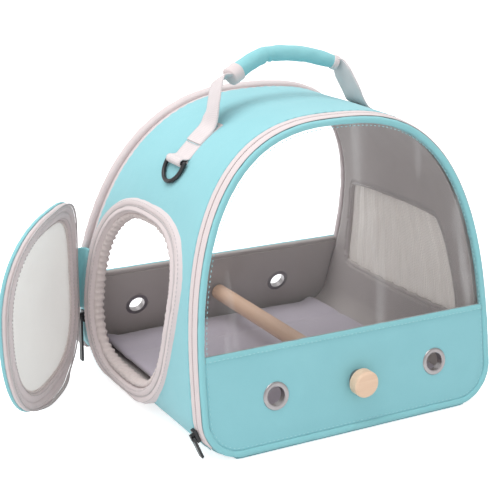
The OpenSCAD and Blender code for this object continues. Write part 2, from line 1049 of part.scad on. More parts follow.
module floor_mat() {
    edge = inner_half_w - corner_r;
    mid = (edge + mat_half_w)/2;
    mid_y = (mat_front_y + mat_rear_y)/2;
    color([0.75, 0.72, 0.77])
    difference() {
        intersection() {
            rotate([90, 0, 0])
            linear_extrude(far, center = true)
            polygon([[-edge, inner_floor_z + 0.3], [edge, inner_floor_z + 0.3], [mid, mat_foot(mid)],
                [mat_half_w, mat_foot(mat_half_w)], [mat_half_w + 1, mat_foot(mat_half_w) + 2],
                [mat_half_w - 1, mat_top + 1], [mat_half_w - 12, mat_top + mat_crown*0.6],
                [mat_half_w - 36, mat_top + mat_crown], [36 - mat_half_w, mat_top + mat_crown],
                [12 - mat_half_w, mat_top + mat_crown*0.6], [1 - mat_half_w, mat_top + 1],
                [-mat_half_w - 1, mat_foot(mat_half_w) + 2], [-mat_half_w, mat_foot(mat_half_w)],
                [-mid, mat_foot(mid)]]);
            rotate([90, 0, 90])
            linear_extrude(far, center = true)
            polygon([[mat_front_y + 2, inner_floor_z], [mat_rear_y - 2, inner_floor_z],
                [mat_rear_y, inner_floor_z + 3], [mat_rear_y - 1, mat_top],
                [mat_rear_y - 10, mat_top + mat_crown*0.6], [mat_rear_y - 34, mat_top + mat_crown],
                [mat_front_y + 34, mat_top + mat_crown], [mat_front_y + 10, mat_top + mat_crown*0.6],
                [mat_front_y + 1, mat_top], [mat_front_y, inner_floor_z + 3]]);
            translate([-far/2, mat_front_y, 0])
            cube([far, mat_rear_y - mat_front_y, mat_top + mat_crown - 0.2]);
        }
        for (offset_y = [-channel_pitch, 0, channel_pitch]) mat_channel(mid_y + offset_y);
    }
}

// ---- handle ----

function arch_z(x, d) =
    shoulder_z + (arch_rise + d)*pow(1 - pow(x/(inner_half_w + d), arch_power), 1/arch_power);

// The wall's outward direction above a distance x from the middle
function wall_normal(x, d) =
    let (a = inner_half_w + d,
         b = arch_rise + d,
         nx = pow(x/a, arch_power - 1)/a,
         nz = pow((arch_z(x, d) - shoulder_z)/b, arch_power - 1)/b)
    [nx, nz]/norm([nx, nz]);

handle_hinge_z = arch_z(handle_root_x - webbing_t, wall_t) + webbing_t + gap + webbing_w/2;
grip_arc = (grip_half*grip_half + grip_drop*grip_drop)/(2*grip_drop);
grip_turn = asin(grip_half/grip_arc);
core_r = grip_r - 1.6;
fold_w = 9;
collar_l = 9;
collar_t = 1.2;

// Local X along the handle, local Y up from the hinge line, local Z towards the front
module handle_frame() {
    translate([0, -handle_y, handle_hinge_z])
    rotate([90 - handle_tilt, 0, 0])
    children();
}

// A section swept along the grip's arc, between two angles from its middle
module grip_sweep(from, to) {
    translate([0, grip_rise - grip_arc, 0])
    rotate([0, 0, 90 + from])
    rotate_extrude(angle = to - from)
    translate([grip_arc, 0])
    children();
}

module folded_webbing() {
    grip_sweep(-grip_turn - 2, grip_turn + 2)
    square([2*webbing_t, fold_w], center = true);
}

module handle_strap() {
    foot = handle_root_x;
    bend = 4;
    top_x = grip_half + 3;
    top_y = grip_rise - grip_drop - 1.6;
    thick = webbing_t/2;
    translate([foot - thick, 0, 0])
    rotate([0, 90, 0])
    cylinder(r = webbing_w/2, h = webbing_t);
    translate([0, 0, -webbing_w/2])
    linear_extrude(webbing_w)
    polygon([[foot - thick, 0], [foot + thick, 0], [foot + thick, bend], [top_x + 1.4, top_y + 0.8],
        [top_x - 0.8, top_y + 0.8], [top_x - 0.8, top_y - 0.6], [foot - thick, bend - 0.4]]);
}

module handle_webbing() {
    color(tape_grey)
    handle_frame()
    union() {
        folded_webbing();
        handle_strap();
        mirror([1, 0, 0])
        handle_strap();
    }
}

module handle_core() {
    color("white")
    handle_frame()
    difference() {
        grip_sweep(-grip_turn, grip_turn)
        circle(core_r);
        folded_webbing();
    }
}

module handle_sleeve() {
    color(aqua)
    handle_frame()
    difference() {
        grip_sweep(-grip_turn, grip_turn)
        circle(grip_r);
        grip_sweep(-grip_turn - 1, grip_turn + 1)
        circle(core_r);
    }
}

module handle_collars() {
    collar_turn = collar_l/grip_arc*180/PI;
    color(tape_grey)
    handle_frame()
    for (side = [-1, 1]) {
        from = side < 0 ? -grip_turn : grip_turn - collar_turn;
        difference() {
            grip_sweep(from, from + collar_turn)
            circle(grip_r + collar_t);
            grip_sweep(from - 1, from + collar_turn + 1)
            circle(grip_r);
        }
    }
}

// ---- shoulder tabs and D-rings ----

tab_top_x = handle_root_x - 4;
bar_off = ring_wire_r + 2*gap + webbing_t;
bar_x = ring_x + bar_off*wall_normal(ring_x, wall_t)[0];
bar_z = arch_z(ring_x, wall_t) + bar_off*wall_normal(ring_x, wall_t)[1];
// How far a hanging D-ring turns in from the wall's slope until it lies on the wall
ring_lean = 8;
ring_turn = atan2(wall_normal(ring_x, wall_t)[1], wall_normal(ring_x, wall_t)[0]) - ring_lean;
ring_half = webbing_w/2 + gap + ring_wire_r;

module shoulder_tab() {
    loop_r = ring_wire_r + gap;
    difference() {
        union() {
            intersection() {
                band(wall_t, wall_t + webbing_t);
                translate([tab_top_x, -handle_y - webbing_w/2, cabin_h/2])
                cube([ring_x - tab_top_x, webbing_w, cabin_h]);
            }
            translate([bar_x, -handle_y + webbing_w/2, bar_z])
            rotate([90, 0, 0])
            cylinder(r = loop_r + webbing_t, h = webbing_w);
        }
        translate([bar_x, -handle_y + webbing_w, bar_z])
        rotate([90, 0, 0])
        cylinder(r = loop_r, h = 2*webbing_w);
        band(-1, wall_t);
    }
}

module shoulder_tab_right() {
    color(tape_grey)
    shoulder_tab();
}

module shoulder_tab_left() {
    color(tape_grey)
    mirror([1, 0, 0])
    shoulder_tab();
}

module d_ring() {
    bow = ring_half;
    leg = ring_drop - bow - ring_wire_r;
    translate([bar_x, -handle_y, bar_z])
    rotate([0, -ring_turn, 0]) {
        rotate([90, 0, 0])
        cylinder(r = ring_wire_r, h = 2*ring_half, center = true);
        for (side = [-1, 1]) {
            translate([0, side*ring_half, 0])
            sphere(r = ring_wire_r);
            translate([0, side*ring_half, -leg])
            cylinder(r = ring_wire_r, h = leg);
        }
        translate([0, 0, -leg])
        rotate([0, 90, 0])
        rotate([0, 0, -90])
        rotate_extrude(angle = 180)
        translate([bow, 0])
        circle(ring_wire_r);
    }
}

module d_ring_right() {
    color(black)
    d_ring();
}

module d_ring_left() {
    color(black)
    mirror([1, 0, 0])
    d_ring();
}

shell_cover();
wall_pad();
shell_lining();
base_cover();
base_board();
base_lining();
floor_mat();
front_hoop();
rear_hoop();
front_zip_shell_half();
rear_zip_shell_half();
front_zip_slider();
rear_zip_slider();
front_zip_pull();
rear_zip_pull();
front_rim();
front_rim_cord();
front_window();
front_panel_cover();
front_panel_board();
front_panel_lining();
front_hem();
front_eyelets();
front_zip_panel_half();
rear_rim();
rear_rim_cord();
rear_window();
rear_panel_cover();
rear_panel_board();
rear_panel_lining();
rear_hem();
rear_eyelets();
rear_zip_panel_half();
perch();
perch_screw();
perch_seats();
perch_knob();
doorway_ring();
doorway_zip_half();
doorway_fringe();
door_hinge_strip();
door_hinge_fold();
door_edge_band();
door_border_pad();
door_piping();
door_mesh();
door_zip_half();
door_zip_slider();
door_zip_pull();
mesh_window();
mesh_window_frame();
shoulder_tab_left();
shoulder_tab_right();
handle_webbing();
handle_sleeve();
handle_core();
handle_collars();
d_ring_left();
d_ring_right();
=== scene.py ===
import math

import bmesh
import bpy
import numpy as np
from mathutils import Matrix, Vector, noise


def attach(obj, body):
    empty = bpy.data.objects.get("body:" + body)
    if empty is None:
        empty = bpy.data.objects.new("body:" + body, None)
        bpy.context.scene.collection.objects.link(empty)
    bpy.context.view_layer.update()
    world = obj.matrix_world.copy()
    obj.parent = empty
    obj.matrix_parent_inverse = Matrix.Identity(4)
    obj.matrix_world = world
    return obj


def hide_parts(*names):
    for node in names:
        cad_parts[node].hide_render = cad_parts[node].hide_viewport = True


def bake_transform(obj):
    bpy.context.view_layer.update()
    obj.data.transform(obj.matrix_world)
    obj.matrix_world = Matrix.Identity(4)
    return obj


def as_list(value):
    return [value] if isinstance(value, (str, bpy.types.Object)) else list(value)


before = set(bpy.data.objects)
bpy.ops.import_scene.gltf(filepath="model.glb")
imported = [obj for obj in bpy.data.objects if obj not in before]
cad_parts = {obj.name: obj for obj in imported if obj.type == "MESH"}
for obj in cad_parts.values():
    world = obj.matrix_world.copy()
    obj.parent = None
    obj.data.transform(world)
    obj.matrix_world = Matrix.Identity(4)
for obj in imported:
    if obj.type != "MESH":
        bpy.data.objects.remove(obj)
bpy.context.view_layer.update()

MM = 0.001
TAU = 2 * math.pi

# ---- sizes, as in the CAD source, in millimetres ----
HALF_W = 142.0
FLOOR_Z = 8.0
SHOULDER_Z = 46.0
RISE = 218.0
POWER = 2.65
CORNER_R = 30.0
DEPTH = 294.0
FRONT_LEAN = math.radians(9)
REAR_LEAN = math.radians(19)
WALL_T = 8.0
PANEL_H = 90.0
SHEET_T = 5.0
FITTING_X = 4.0
EYELET_Z = 47.0
EYELET_HALF = 82.0
DOOR_HALF_D, DOOR_HALF_H, DOOR_Z, DOOR_Y = 95.5, 93.0, 98.0, 1.0
DOOR_SLANT, DOOR_POWER = 0.2, 2.7
DOOR_HINGE = (-156.2, 103.5)
DOOR_OPEN = math.radians(39)
DOOR_IN, DOOR_OUT = 12.6, 20.6
HANDLE_Y, HANDLE_Z = -27.0, 274.318
HANDLE_TILT = math.radians(25)
GRIP_R = 7.0
BAR = (114.6, 229.03)


def srgb(r, g, b):
    """A colour seen as r, g, b out of 255, as Blender's linear colour."""
    out = []
    for c in (r, g, b):
        c = c / 255
        out.append(c / 12.92 if c <= 0.04045 else ((c + 0.055) / 1.055) ** 2.4)
    return (*out, 1)


# ---- materials ----

class Nodes:
    """A material's node tree, with short ways to add and join nodes."""

    def __init__(self, name):
        self.mat = bpy.data.materials.new(name)
        self.mat.use_nodes = True
        self.tree = self.mat.node_tree
        self.bsdf = self.tree.nodes["Principled BSDF"]
        self.out = self.tree.nodes["Material Output"]

    def join(self, source, target):
        self.tree.links.new(source, target)

    def put(self, value, socket):
        """Gives a socket a plain value, or joins another node's output to it."""
        if isinstance(value, (int, float, tuple)):
            socket.default_value = value
        else:
            self.join(value, socket)

    def add(self, kind, **values):
        """A new node, with its settings and inputs by name."""
        node = self.tree.nodes.new("ShaderNode" + kind)
        for key, value in values.items():
            if hasattr(node, key):
                setattr(node, key, value)
            else:
                self.put(value, node.inputs[key.replace("_", " ")])
        return node

    def math(self, operation, a, b=None, clamp=False):
        node = self.add("Math", operation=operation, use_clamp=clamp)
        self.put(a, node.inputs[0])
        if b is not None:
            self.put(b, node.inputs[1])
        return node.outputs[0]

    def weigh(self, *parts, clamp=False):
        """The sum of pairs (value, weight). A part that isn't a pair is added as it is."""
        terms = [self.math("MULTIPLY", *part) if isinstance(part, tuple) else part for part in parts]
        total = terms[0]
        for k, term in enumerate(terms[1:], 2):
            total = self.math("ADD", total, term, clamp and k == len(terms))
        return total

    def mix(self, factor, a, b):
        """A colour between a and b."""
        node = self.add("Mix", data_type="RGBA")
        for index, value in ((0, factor), (6, a), (7, b)):
            self.put(value, node.inputs[index])
        return node.outputs[2]

    def blend(self, share, first, second):
        """Two shaders mixed, with a share of the second."""
        node = self.add("MixShader")
        for socket, value in zip(node.inputs, (share, first.outputs[0], second.outputs[0])):
            self.put(value, socket)
        return node

    def coords(self, uv):
        return self.add("TexCoord").outputs["UV" if uv else "Object"]

    def noise(self, at, scale, detail=3.0, rough=0.5):
        return self.add("TexNoise", Vector=at, Scale=scale, Detail=detail, Roughness=rough).outputs["Fac"]

    def bump(self, height, strength, distance, **values):
        return self.add("Bump", Height=height, Strength=strength, Distance=distance, **values).outputs[0]

    def surface(self, **values):
        """Sets or joins inputs of the main shader by name."""
        for key, value in values.items():
            self.put(value, self.bsdf.inputs[key.replace("_", " ")])

    def show(self, shader):
        self.join(shader.outputs[0], self.out.inputs["Surface"])


def fabric(name, colour, dark, pitch=0.9, rough=0.85, bump=0.25, sheen=0.25):
    """Woven cloth: crossing threads of one pitch in millimetres, soft mottling and a little fuzz."""
    n = Nodes(name)
    at = n.coords(True)
    split = n.add("SeparateXYZ", Vector=at)
    turns = TAU / (pitch * MM)
    warp, weft = [n.math("SINE", n.math("MULTIPLY", split.outputs[i], turns)) for i in (0, 1)]
    threads = n.weigh((n.math("MULTIPLY", warp, weft), 0.5), 0.5)
    fuzz = n.noise(at, 1400, 2)
    cloud = n.noise(at, 22, 4, 0.6)
    wrinkle = n.bump(n.noise(at, 60, 3, 0.55), 0.25, 0.0015)
    shade = n.weigh((threads, 0.35), (cloud, 0.5), (fuzz, 0.2), clamp=True)
    height = n.weigh((threads, 0.6), (fuzz, 0.4))
    n.surface(Base_Color=n.mix(shade, dark, colour), Roughness=n.weigh((cloud, 0.12), rough - 0.06),
              Normal=n.bump(height, bump, 0.0003, Normal=wrinkle), Sheen_Weight=sheen,
              Sheen_Roughness=0.5, Specular_IOR_Level=0.25)
    return n.mat


def webbing(name, colour, dark):
    """Ribbed webbing: chevron ribs along its length."""
    n = Nodes(name)
    at = n.coords(True)
    split = n.add("SeparateXYZ", Vector=at)
    chevron_pitch, rib_pitch = 1.5, 3.2
    along = n.math("MULTIPLY", split.outputs[0], TAU / (chevron_pitch * MM))
    across = n.math("MULTIPLY", split.outputs[1], TAU / (rib_pitch * MM))
    zig = n.math("SINE", n.weigh(along, (n.math("SINE", across), 1.2)))
    rib = n.math("SINE", n.math("MULTIPLY", across, 2))
    height = n.weigh((zig, 0.3), (rib, 0.2), 0.5)
    shade = n.weigh((height, 0.6), (n.noise(at, 90, 3), 0.4), clamp=True)
    n.surface(Base_Color=n.mix(shade, dark, colour), Normal=n.bump(height, 0.5, 0.0004), Roughness=0.72,
              Sheen_Weight=0.2)
    return n.mat


def mesh_cloth(name, colour, dark, cover, pitch=1.4):
    """Fine netting: threads with a share of the light let through between them."""
    n = Nodes(name)
    at = n.coords(True)
    split = n.add("SeparateXYZ", Vector=at)
    turns = math.pi / (pitch * MM)
    rows = [n.math("ABSOLUTE", n.math("SINE", n.math("MULTIPLY", split.outputs[i], turns))) for i in (0, 1)]
    hole = n.math("MULTIPLY", *rows)
    shade = n.weigh((n.math("SUBTRACT", 1.0, hole), 0.6), (n.noise(at, 35, 4, 0.6), 0.5), clamp=True)
    n.surface(Base_Color=n.mix(shade, dark, colour), Normal=n.bump(hole, 0.3, 0.0003, invert=True),
              Roughness=0.8, Sheen_Weight=0.3)
    lit = n.blend(0.4, n.bsdf, n.add("BsdfTranslucent", Color=colour))
    covered = n.math("SUBTRACT", cover + 0.12, n.math("MULTIPLY", hole, 0.3), True)
    n.show(n.blend(covered, n.add("BsdfTransparent"), lit))
    return n.mat


def film(name):
    """Clear flexible film: nearly invisible face on, glossy at a glance, faintly scuffed and rippled, with
    pale upright streaks of painted reflection.
    """
    n = Nodes(name)
    at = n.coords(True)
    scuff = n.noise(at, 55, 4, 0.6)
    ripple = n.bump(n.noise(at, 14, 2), 0.5, 0.006)
    gloss = n.add("BsdfGlossy", Normal=ripple, Color=(1, 1, 1, 1), Roughness=n.weigh((scuff, 0.12), 0.03))
    clear = n.add("BsdfTransparent", Color=(0.985, 0.99, 0.992, 1))
    glance = n.add("LayerWeight", Normal=ripple, Blend=0.25).outputs["Fresnel"]
    shiny = n.blend(n.weigh((glance, 0.55), (scuff, 0.02), clamp=True), clear, gloss)
    # Painted reflection: pale upright streaks of a white matt shader mixed into the film, standing in for
    # glare.
    drawn = n.add("Mapping", Vector=at, Scale=(26, 5, 1)).outputs[0]
    glare_streak_share = n.math("MULTIPLY", n.math("SUBTRACT", n.noise(drawn, 1.0, 2), 0.56), 1.3, True)
    painted_glare = n.add("BsdfDiffuse", Color=(0.95, 0.95, 0.95, 1))
    n.show(n.blend(n.math("MINIMUM", glare_streak_share, 0.16), shiny, painted_glare))
    n.tree.nodes.remove(n.bsdf)
    return n.mat


def wood(name, colour, dark, axis):
    """Bare turned wood with grain along one axis: 0, 1 or 2."""
    n = Nodes(name)
    across, along = 260, 12
    stretch = tuple(along if i == axis else across for i in range(3))
    mapped = n.add("Mapping", Vector=n.coords(False), Scale=stretch).outputs[0]
    grain = n.noise(mapped, 1.0, 5, 0.6)
    fine = n.noise(mapped, 4.0, 3, 0.6)
    shade = n.weigh((grain, 0.9), (fine, 0.25), clamp=True)
    n.surface(Base_Color=n.mix(shade, dark, colour), Roughness=n.weigh((grain, 0.2), 0.45),
              Normal=n.bump(n.math("ADD", grain, fine), 0.15, 0.0004))
    return n.mat


def hard(name, colour, dark, rough, metallic=0.0):
    """Moulded plastic or metal with fine grain and small scuffs."""
    n = Nodes(name)
    at = n.coords(False)
    grain = n.noise(at, 300, 3, 0.6)
    wear = n.noise(at, 50, 4, 0.6)
    shade = n.weigh((grain, 0.4), (wear, 0.6), clamp=True)
    n.surface(Base_Color=n.mix(shade, dark, colour), Roughness=n.weigh((wear, 0.2), rough - 0.1),
              Normal=n.bump(grain, 0.08, 0.0003), Metallic=metallic)
    return n.mat


def plain_stage(name, colour, lift):
    """The floor: pale to the camera and in reflections, and an ordinary matt surface to the lamps."""
    n = Nodes(name)
    bright = tuple(min(1, c * 1.01) for c in colour[:3]) + (1,)
    n.surface(Base_Color=n.mix(n.noise(n.coords(False), 3, 2), colour, bright), Roughness=0.9,
              Specular_IOR_Level=0.1)
    path = n.add("LightPath")
    seen = n.math("ADD", path.outputs["Is Camera Ray"], path.outputs["Is Glossy Ray"], True)
    glow = n.add("Emission", Color=(1, 1, 1, 1), Strength=n.math("MULTIPLY", seen, lift))
    both = n.add("AddShader")
    n.join(n.bsdf.outputs[0], both.inputs[0])
    n.join(glow.outputs[0], both.inputs[1])
    n.show(both)
    return n.mat


AQUA = srgb(150, 206, 213)
AQUA_DARK = srgb(128, 188, 196)
PINK = srgb(226, 214, 214)
PINK_DARK = srgb(202, 190, 190)
GREY = srgb(190, 183, 181)
GREY_DARK = srgb(168, 161, 159)
MATS = {
    "aqua": fabric("aqua_cloth", AQUA, AQUA_DARK),
    "rim": fabric("rim_cloth", srgb(150, 208, 213), srgb(124, 186, 193), pitch=0.8),
    "tape": fabric("tape_cloth", PINK, PINK_DARK, pitch=0.7, rough=0.75),
    "lining": fabric("lining_cloth", GREY, GREY_DARK, pitch=0.6, bump=0.12),
    "mat": fabric("mat_cloth", srgb(196, 188, 200), srgb(172, 165, 178), pitch=1.0, sheen=0.5),
    "thread": fabric("sewing_thread", srgb(168, 216, 221), srgb(146, 198, 204), pitch=0.3),
    "grey_thread": fabric("grey_thread", srgb(205, 198, 198), srgb(175, 168, 168), pitch=0.3),
    "webbing": webbing("pink_webbing", srgb(232, 222, 222), srgb(196, 186, 187)),
    "net": mesh_cloth("door_net", srgb(246, 245, 242), srgb(230, 228, 226), 0.8),
    "frill": fabric("frill_cloth", srgb(226, 214, 211), srgb(192, 180, 178), pitch=1.2, bump=0.4),
    "window_net": mesh_cloth("window_net", srgb(244, 240, 236), srgb(224, 219, 215), 0.92, 1.6),
    "film": film("clear_film"),
    "wood": wood("perch_wood", srgb(232, 199, 174), srgb(206, 166, 136), 1),
    "knob": wood("knob_wood", srgb(238, 208, 182), srgb(216, 178, 148), 0),
    "metal": hard("eyelet_metal", srgb(178, 174, 174), srgb(124, 120, 122), 0.32, 0.85),
    "steel": hard("spring_steel", srgb(150, 150, 152), srgb(100, 100, 104), 0.4, 0.9),
    "black": hard("black_plastic", srgb(34, 34, 37), srgb(16, 16, 18), 0.42),
    "board": hard("board_sheet", srgb(120, 118, 116), srgb(96, 94, 92), 0.7),
}


# ---- shapes ----

def hw(z, d):
    """Half width of the cabin's outline at height z and offset d."""
    z = np.asarray(z, float)
    t = np.clip((z - SHOULDER_Z) / (RISE + d), 0, 1)
    arch = (HALF_W + d) * (1 - t ** POWER) ** (1 / POWER)
    low = np.clip(FLOOR_Z + CORNER_R - z, 0, CORNER_R + d)
    corner = HALF_W - CORNER_R + np.sqrt(np.maximum((CORNER_R + d) ** 2 - low ** 2, 0))
    return np.where(z >= FLOOR_Z + CORNER_R, arch, corner)


def flared(z, d):
    """Half width of the stiff doorway pieces, nearly straight past the rounded foot of the wall."""
    z = np.asarray(z, float)
    tight = 8.0
    low = np.clip(FLOOR_Z + tight - z, 0, tight + d)
    straight = HALF_W - tight + np.sqrt(np.maximum((tight + d) ** 2 - low ** 2, 0))
    near = hw(z, d)
    return np.where(z < FLOOR_Z + CORNER_R, np.minimum(np.maximum(straight, near), near + 9.5), near)


def arch_z(x, d):
    return SHOULDER_Z + (RISE + d) * (1 - (abs(x) / (HALF_W + d)) ** POWER) ** (1 / POWER)


def loop_points(n_arch, n_corner, n_floor, start=-90.0):
    """Parameters of the cabin's outline, from the right bottom corner over the arch to the left one."""
    items = [("c", 1, t) for t in np.linspace(start, 0, n_corner, endpoint=False)]
    items += [("a", 0, t) for t in np.linspace(0, 180, n_arch)]
    items += [("c", -1, t) for t in np.linspace(180, 180 - start, n_corner + 1)[1:]]
    if n_floor:
        items += [("f", 0, t) for t in np.linspace(-1, 1, n_floor + 1)[1:-1]]
    return items


def loop_at(items, d):
    """The outline's points (x, z) for its parameters at offset d, one offset or one for each point."""
    ds = np.broadcast_to(np.asarray(d, float), (len(items),))
    out = []
    for (kind, side, t), off in zip(items, ds):
        if kind == "c":
            a = math.radians(t)
            out.append((side * (HALF_W - CORNER_R) + (CORNER_R + off) * math.cos(a),
                        FLOOR_Z + CORNER_R + (CORNER_R + off) * math.sin(a)))
        elif kind == "a":
            a = math.radians(t)
            wide, tall = HALF_W + off, RISE + off
            r = ((abs(math.cos(a)) / wide) ** POWER + (abs(math.sin(a)) / tall) ** POWER) ** (-1 / POWER)
            out.append((r * math.cos(a), SHOULDER_Z + r * math.sin(a)))
        else:
            out.append((t * (HALF_W - CORNER_R), FLOOR_Z - off))
    return np.array(out)


def front_at(x, z, w):
    x, z, w = np.broadcast_arrays(x, z, w)
    return np.stack([x, -DEPTH / 2 + z * math.tan(FRONT_LEAN) - w * math.cos(FRONT_LEAN),
                     z + w * math.sin(FRONT_LEAN)], -1)


def rear_at(x, z, w):
    x, z, w = np.broadcast_arrays(x, z, w)
    return np.stack([-x, DEPTH / 2 - z * math.tan(REAR_LEAN) + w * math.cos(REAR_LEAN),
                     z + w * math.sin(REAR_LEAN)], -1)


def front_y(z, inset):
    return -DEPTH / 2 + z * math.tan(FRONT_LEAN) + inset / math.cos(FRONT_LEAN)


def rear_y(z, inset):
    return DEPTH / 2 - z * math.tan(REAR_LEAN) - inset / math.cos(REAR_LEAN)


def door_outline(grow, n=144):
    """The doorway's outline (y, z), grown by one margin or by a pair of them (depth, height)."""
    gd, gh = grow if isinstance(grow, tuple) else (grow, grow)
    a = np.linspace(0, TAU, n, endpoint=False)
    wide, tall = DOOR_HALF_D + gd, DOOR_HALF_H + gh
    across, up = np.abs(np.cos(a)) / wide, np.abs(np.sin(a)) / tall
    r = (across ** DOOR_POWER + up ** DOOR_POWER) ** (-1 / DOOR_POWER)
    return DOOR_Y + r * np.cos(a) - DOOR_SLANT * r * np.sin(a), DOOR_Z + r * np.sin(a)


def swing(points):
    """Turns points of the closed door to where the door stands open."""
    p = np.array(points, float)
    c, s = math.cos(-DOOR_OPEN), math.sin(-DOOR_OPEN)
    x, y = p[..., 0] - DOOR_HINGE[0], p[..., 1] - DOOR_HINGE[1]
    out = p.copy()
    out[..., 0] = DOOR_HINGE[0] + c * x - s * y
    out[..., 1] = DOOR_HINGE[1] + s * x + c * y
    return out


def handle_at(x, y, z):
    """From the handle's frame to the scene's: x along it, y up from its hinge line, z towards the front."""
    x, y, z = np.broadcast_arrays(x, y, z)
    s, c = math.sin(HANDLE_TILT), math.cos(HANDLE_TILT)
    return np.stack([x, HANDLE_Y + y * s - z * c, HANDLE_Z + y * c + z * s], -1)


def wave(p, scale, seed=0.0):
    """Smooth noise from -1 to 1 at a point in millimetres."""
    return noise.noise(Vector((p[0] * scale + seed, p[1] * scale - seed, p[2] * scale + 2 * seed)))


def ruffle(points, normals, amount, scale, seed=0.0):
    """Moves a grid of points along its normals by smooth noise."""
    out = np.array(points, float)
    flat, norms = out.reshape(-1, 3), np.asarray(normals, float).reshape(-1, 3)
    for i in range(len(flat)):
        flat[i] += norms[i] * amount * wave(flat[i], scale, seed)
    return flat.reshape(np.shape(points))


def grid_normals(p, closed_u=False, closed_v=False):
    du = np.roll(p, -1, 0) - np.roll(p, 1, 0) if closed_u else np.gradient(p, axis=0)
    dv = np.roll(p, -1, 1) - np.roll(p, 1, 1) if closed_v else np.gradient(p, axis=1)
    nrm = np.cross(du, dv)
    return nrm / np.maximum(np.linalg.norm(nrm, axis=-1, keepdims=True), 1e-9)


def grid_piece(name, p, mat, body, nodes=(), closed_u=False, closed_v=False, drop=None,
               thick=0.0, smooth=True, flip=False):
    """A mesh from a grid of points in millimetres, with UVs in metres, riding on a body."""
    nu, nv = p.shape[:2]
    ring_u = nu if closed_u else nu - 1
    ring_v = nv if closed_v else nv - 1
    step_u = np.linalg.norm(np.diff(p, axis=0, append=p[:1] if closed_u else p[-1:]), axis=2).mean(1)
    step_v = np.linalg.norm(np.diff(p, axis=1, append=p[:, :1] if closed_v else p[:, -1:]), axis=2).mean(0)
    us = np.concatenate([[0], np.cumsum(step_u)]) * MM
    vs = np.concatenate([[0], np.cumsum(step_v)]) * MM
    faces, uvs = [], []
    for i in range(ring_u):
        for j in range(ring_v):
            i2, j2 = (i + 1) % nu, (j + 1) % nv
            if drop is not None and drop[i, j]:
                continue
            quad = [i * nv + j, i2 * nv + j, i2 * nv + j2, i * nv + j2]
            uv = [(us[i], vs[j]), (us[i + 1], vs[j]), (us[i + 1], vs[j + 1]), (us[i], vs[j + 1])]
            if flip:
                quad.reverse()
                uv.reverse()
            faces.append(quad)
            uvs += uv
    return mesh_piece(name, p.reshape(-1, 3), faces, mat, body, nodes, uvs, thick, smooth)


def mesh_piece(name, verts, faces, mat, body, nodes=(), uvs=None, thick=0.0, smooth=True):
    mesh = bpy.data.meshes.new(name)
    verts = np.asarray(verts, float)
    used = sorted({i for f in faces for i in f})
    index = {old: new for new, old in enumerate(used)}
    mesh.from_pydata([tuple(v) for v in verts[used] * MM], [], [[index[i] for i in f] for f in faces])
    if uvs is not None:
        layer = mesh.uv_layers.new(name="UVMap")
        layer.data.foreach_set("uv", np.array(uvs, np.float32).ravel())
    mesh.polygons.foreach_set("use_smooth", [smooth] * len(mesh.polygons))
    mesh.update()
    obj = bpy.data.objects.new(name, mesh)
    bpy.context.scene.collection.objects.link(obj)
    obj.data.materials.append(MATS[mat])
    if thick:
        mod = obj.modifiers.new("thickness", "SOLIDIFY")
        mod.thickness = thick * MM
        mod.offset = -1
    if nodes:
        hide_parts(*nodes)
    if body:
        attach(obj, body)
    return obj


def place_along(s, along, points, normals, reach):
    """Centre, direction, normal and side of a path at the distance s along it."""
    at = lambda values, where: np.array([np.interp(where, along, values[:, i]) for i in range(3)])
    c, n = at(points, s), at(normals, s)
    t = at(points, s + reach) - at(points, s - reach)
    t /= np.linalg.norm(t) + 1e-9
    n = n - t * n.dot(t)
    n /= np.linalg.norm(n) + 1e-9
    return c, t, n, np.cross(t, n)


def distances(points):
    """Distance of each point along the path that they make."""
    return np.concatenate([[0], np.cumsum(np.linalg.norm(np.diff(points, axis=0), axis=1))])


def capsule_chain(name, points, normals, mat, body, length=2.4, pitch=3.6, radius=0.3, lift=0.15):
    """A row of sewn stitches along a path: short low loops of thread, half sunk in the cloth."""
    points, normals = np.asarray(points, float), np.asarray(normals, float)
    along = distances(points)
    count = int(along[-1] // pitch)
    verts, faces = [], []
    sides = 6
    for k in range(count):
        s0 = (k + 0.5) * along[-1] / count
        stations = [(-0.5, 0.25, -0.6), (-0.3, 1.0, 0.2), (0.3, 1.0, 0.2), (0.5, 0.25, -0.6)]
        base = len(verts)
        for frac, size, rise in stations:
            c, t, n, b = place_along(s0 + frac * length, along, points, normals, 0.4)
            for m in range(sides):
                a = TAU * m / sides
                verts.append(c + n * (lift + rise * radius + radius * size * math.sin(a))
                             + b * radius * size * 1.2 * math.cos(a))
        for q in range(3):
            for m in range(sides):
                m2 = (m + 1) % sides
                faces.append([base + q * sides + m, base + (q + 1) * sides + m,
                              base + (q + 1) * sides + m2, base + q * sides + m2])
        faces.append([base + m for m in range(sides)])
        faces.append([base + 3 * sides + m for m in reversed(range(sides))])
    return mesh_piece(name, verts, faces, mat, body, ())


def rounded(points, steps=3):
    """Chaikin's corner cutting on a closed profile."""
    pts = np.array(points, float)
    for _ in range(steps):
        nxt = np.roll(pts, -1, 0)
        pts = np.stack([pts * 0.75 + nxt * 0.25, pts * 0.25 + nxt * 0.75], 1).reshape(-1, 2)
    return pts


def smooth_line(knots, steps=4):
    """Corner cutting on an open line."""
    pts = np.array(knots, float)
    for _ in range(steps):
        cut = [pts[0]]
        for a, b in zip(pts, pts[1:]):
            cut += [a * 0.75 + b * 0.25, a * 0.25 + b * 0.75]
        pts = np.array(cut + [pts[-1]])
    return pts


def grid_of(us, vs, at):
    """The grid of the points at(u, v)."""
    return np.array([[at(u, v) for v in vs] for u in us], float)


def cells_in(mask):
    """The cells of a grid that have two or more of their corners in the mask."""
    m = mask.astype(int)
    return m[:-1, :-1] + m[1:, :-1] + m[:-1, 1:] + m[1:, 1:] >= 2


def opening_edge(drop):
    """The grid points that lie between kept and dropped cells."""
    shape = (drop.shape[0] + 1, drop.shape[1] + 1)
    kept, gone = np.zeros(shape, int), np.zeros(shape, int)
    for di in (0, 1):
        for dj in (0, 1):
            kept[di:di + drop.shape[0], dj:dj + drop.shape[1]] += ~drop
            gone[di:di + drop.shape[0], dj:dj + drop.shape[1]] += drop
    return (kept > 0) & (gone > 0)


# ---- shell ----

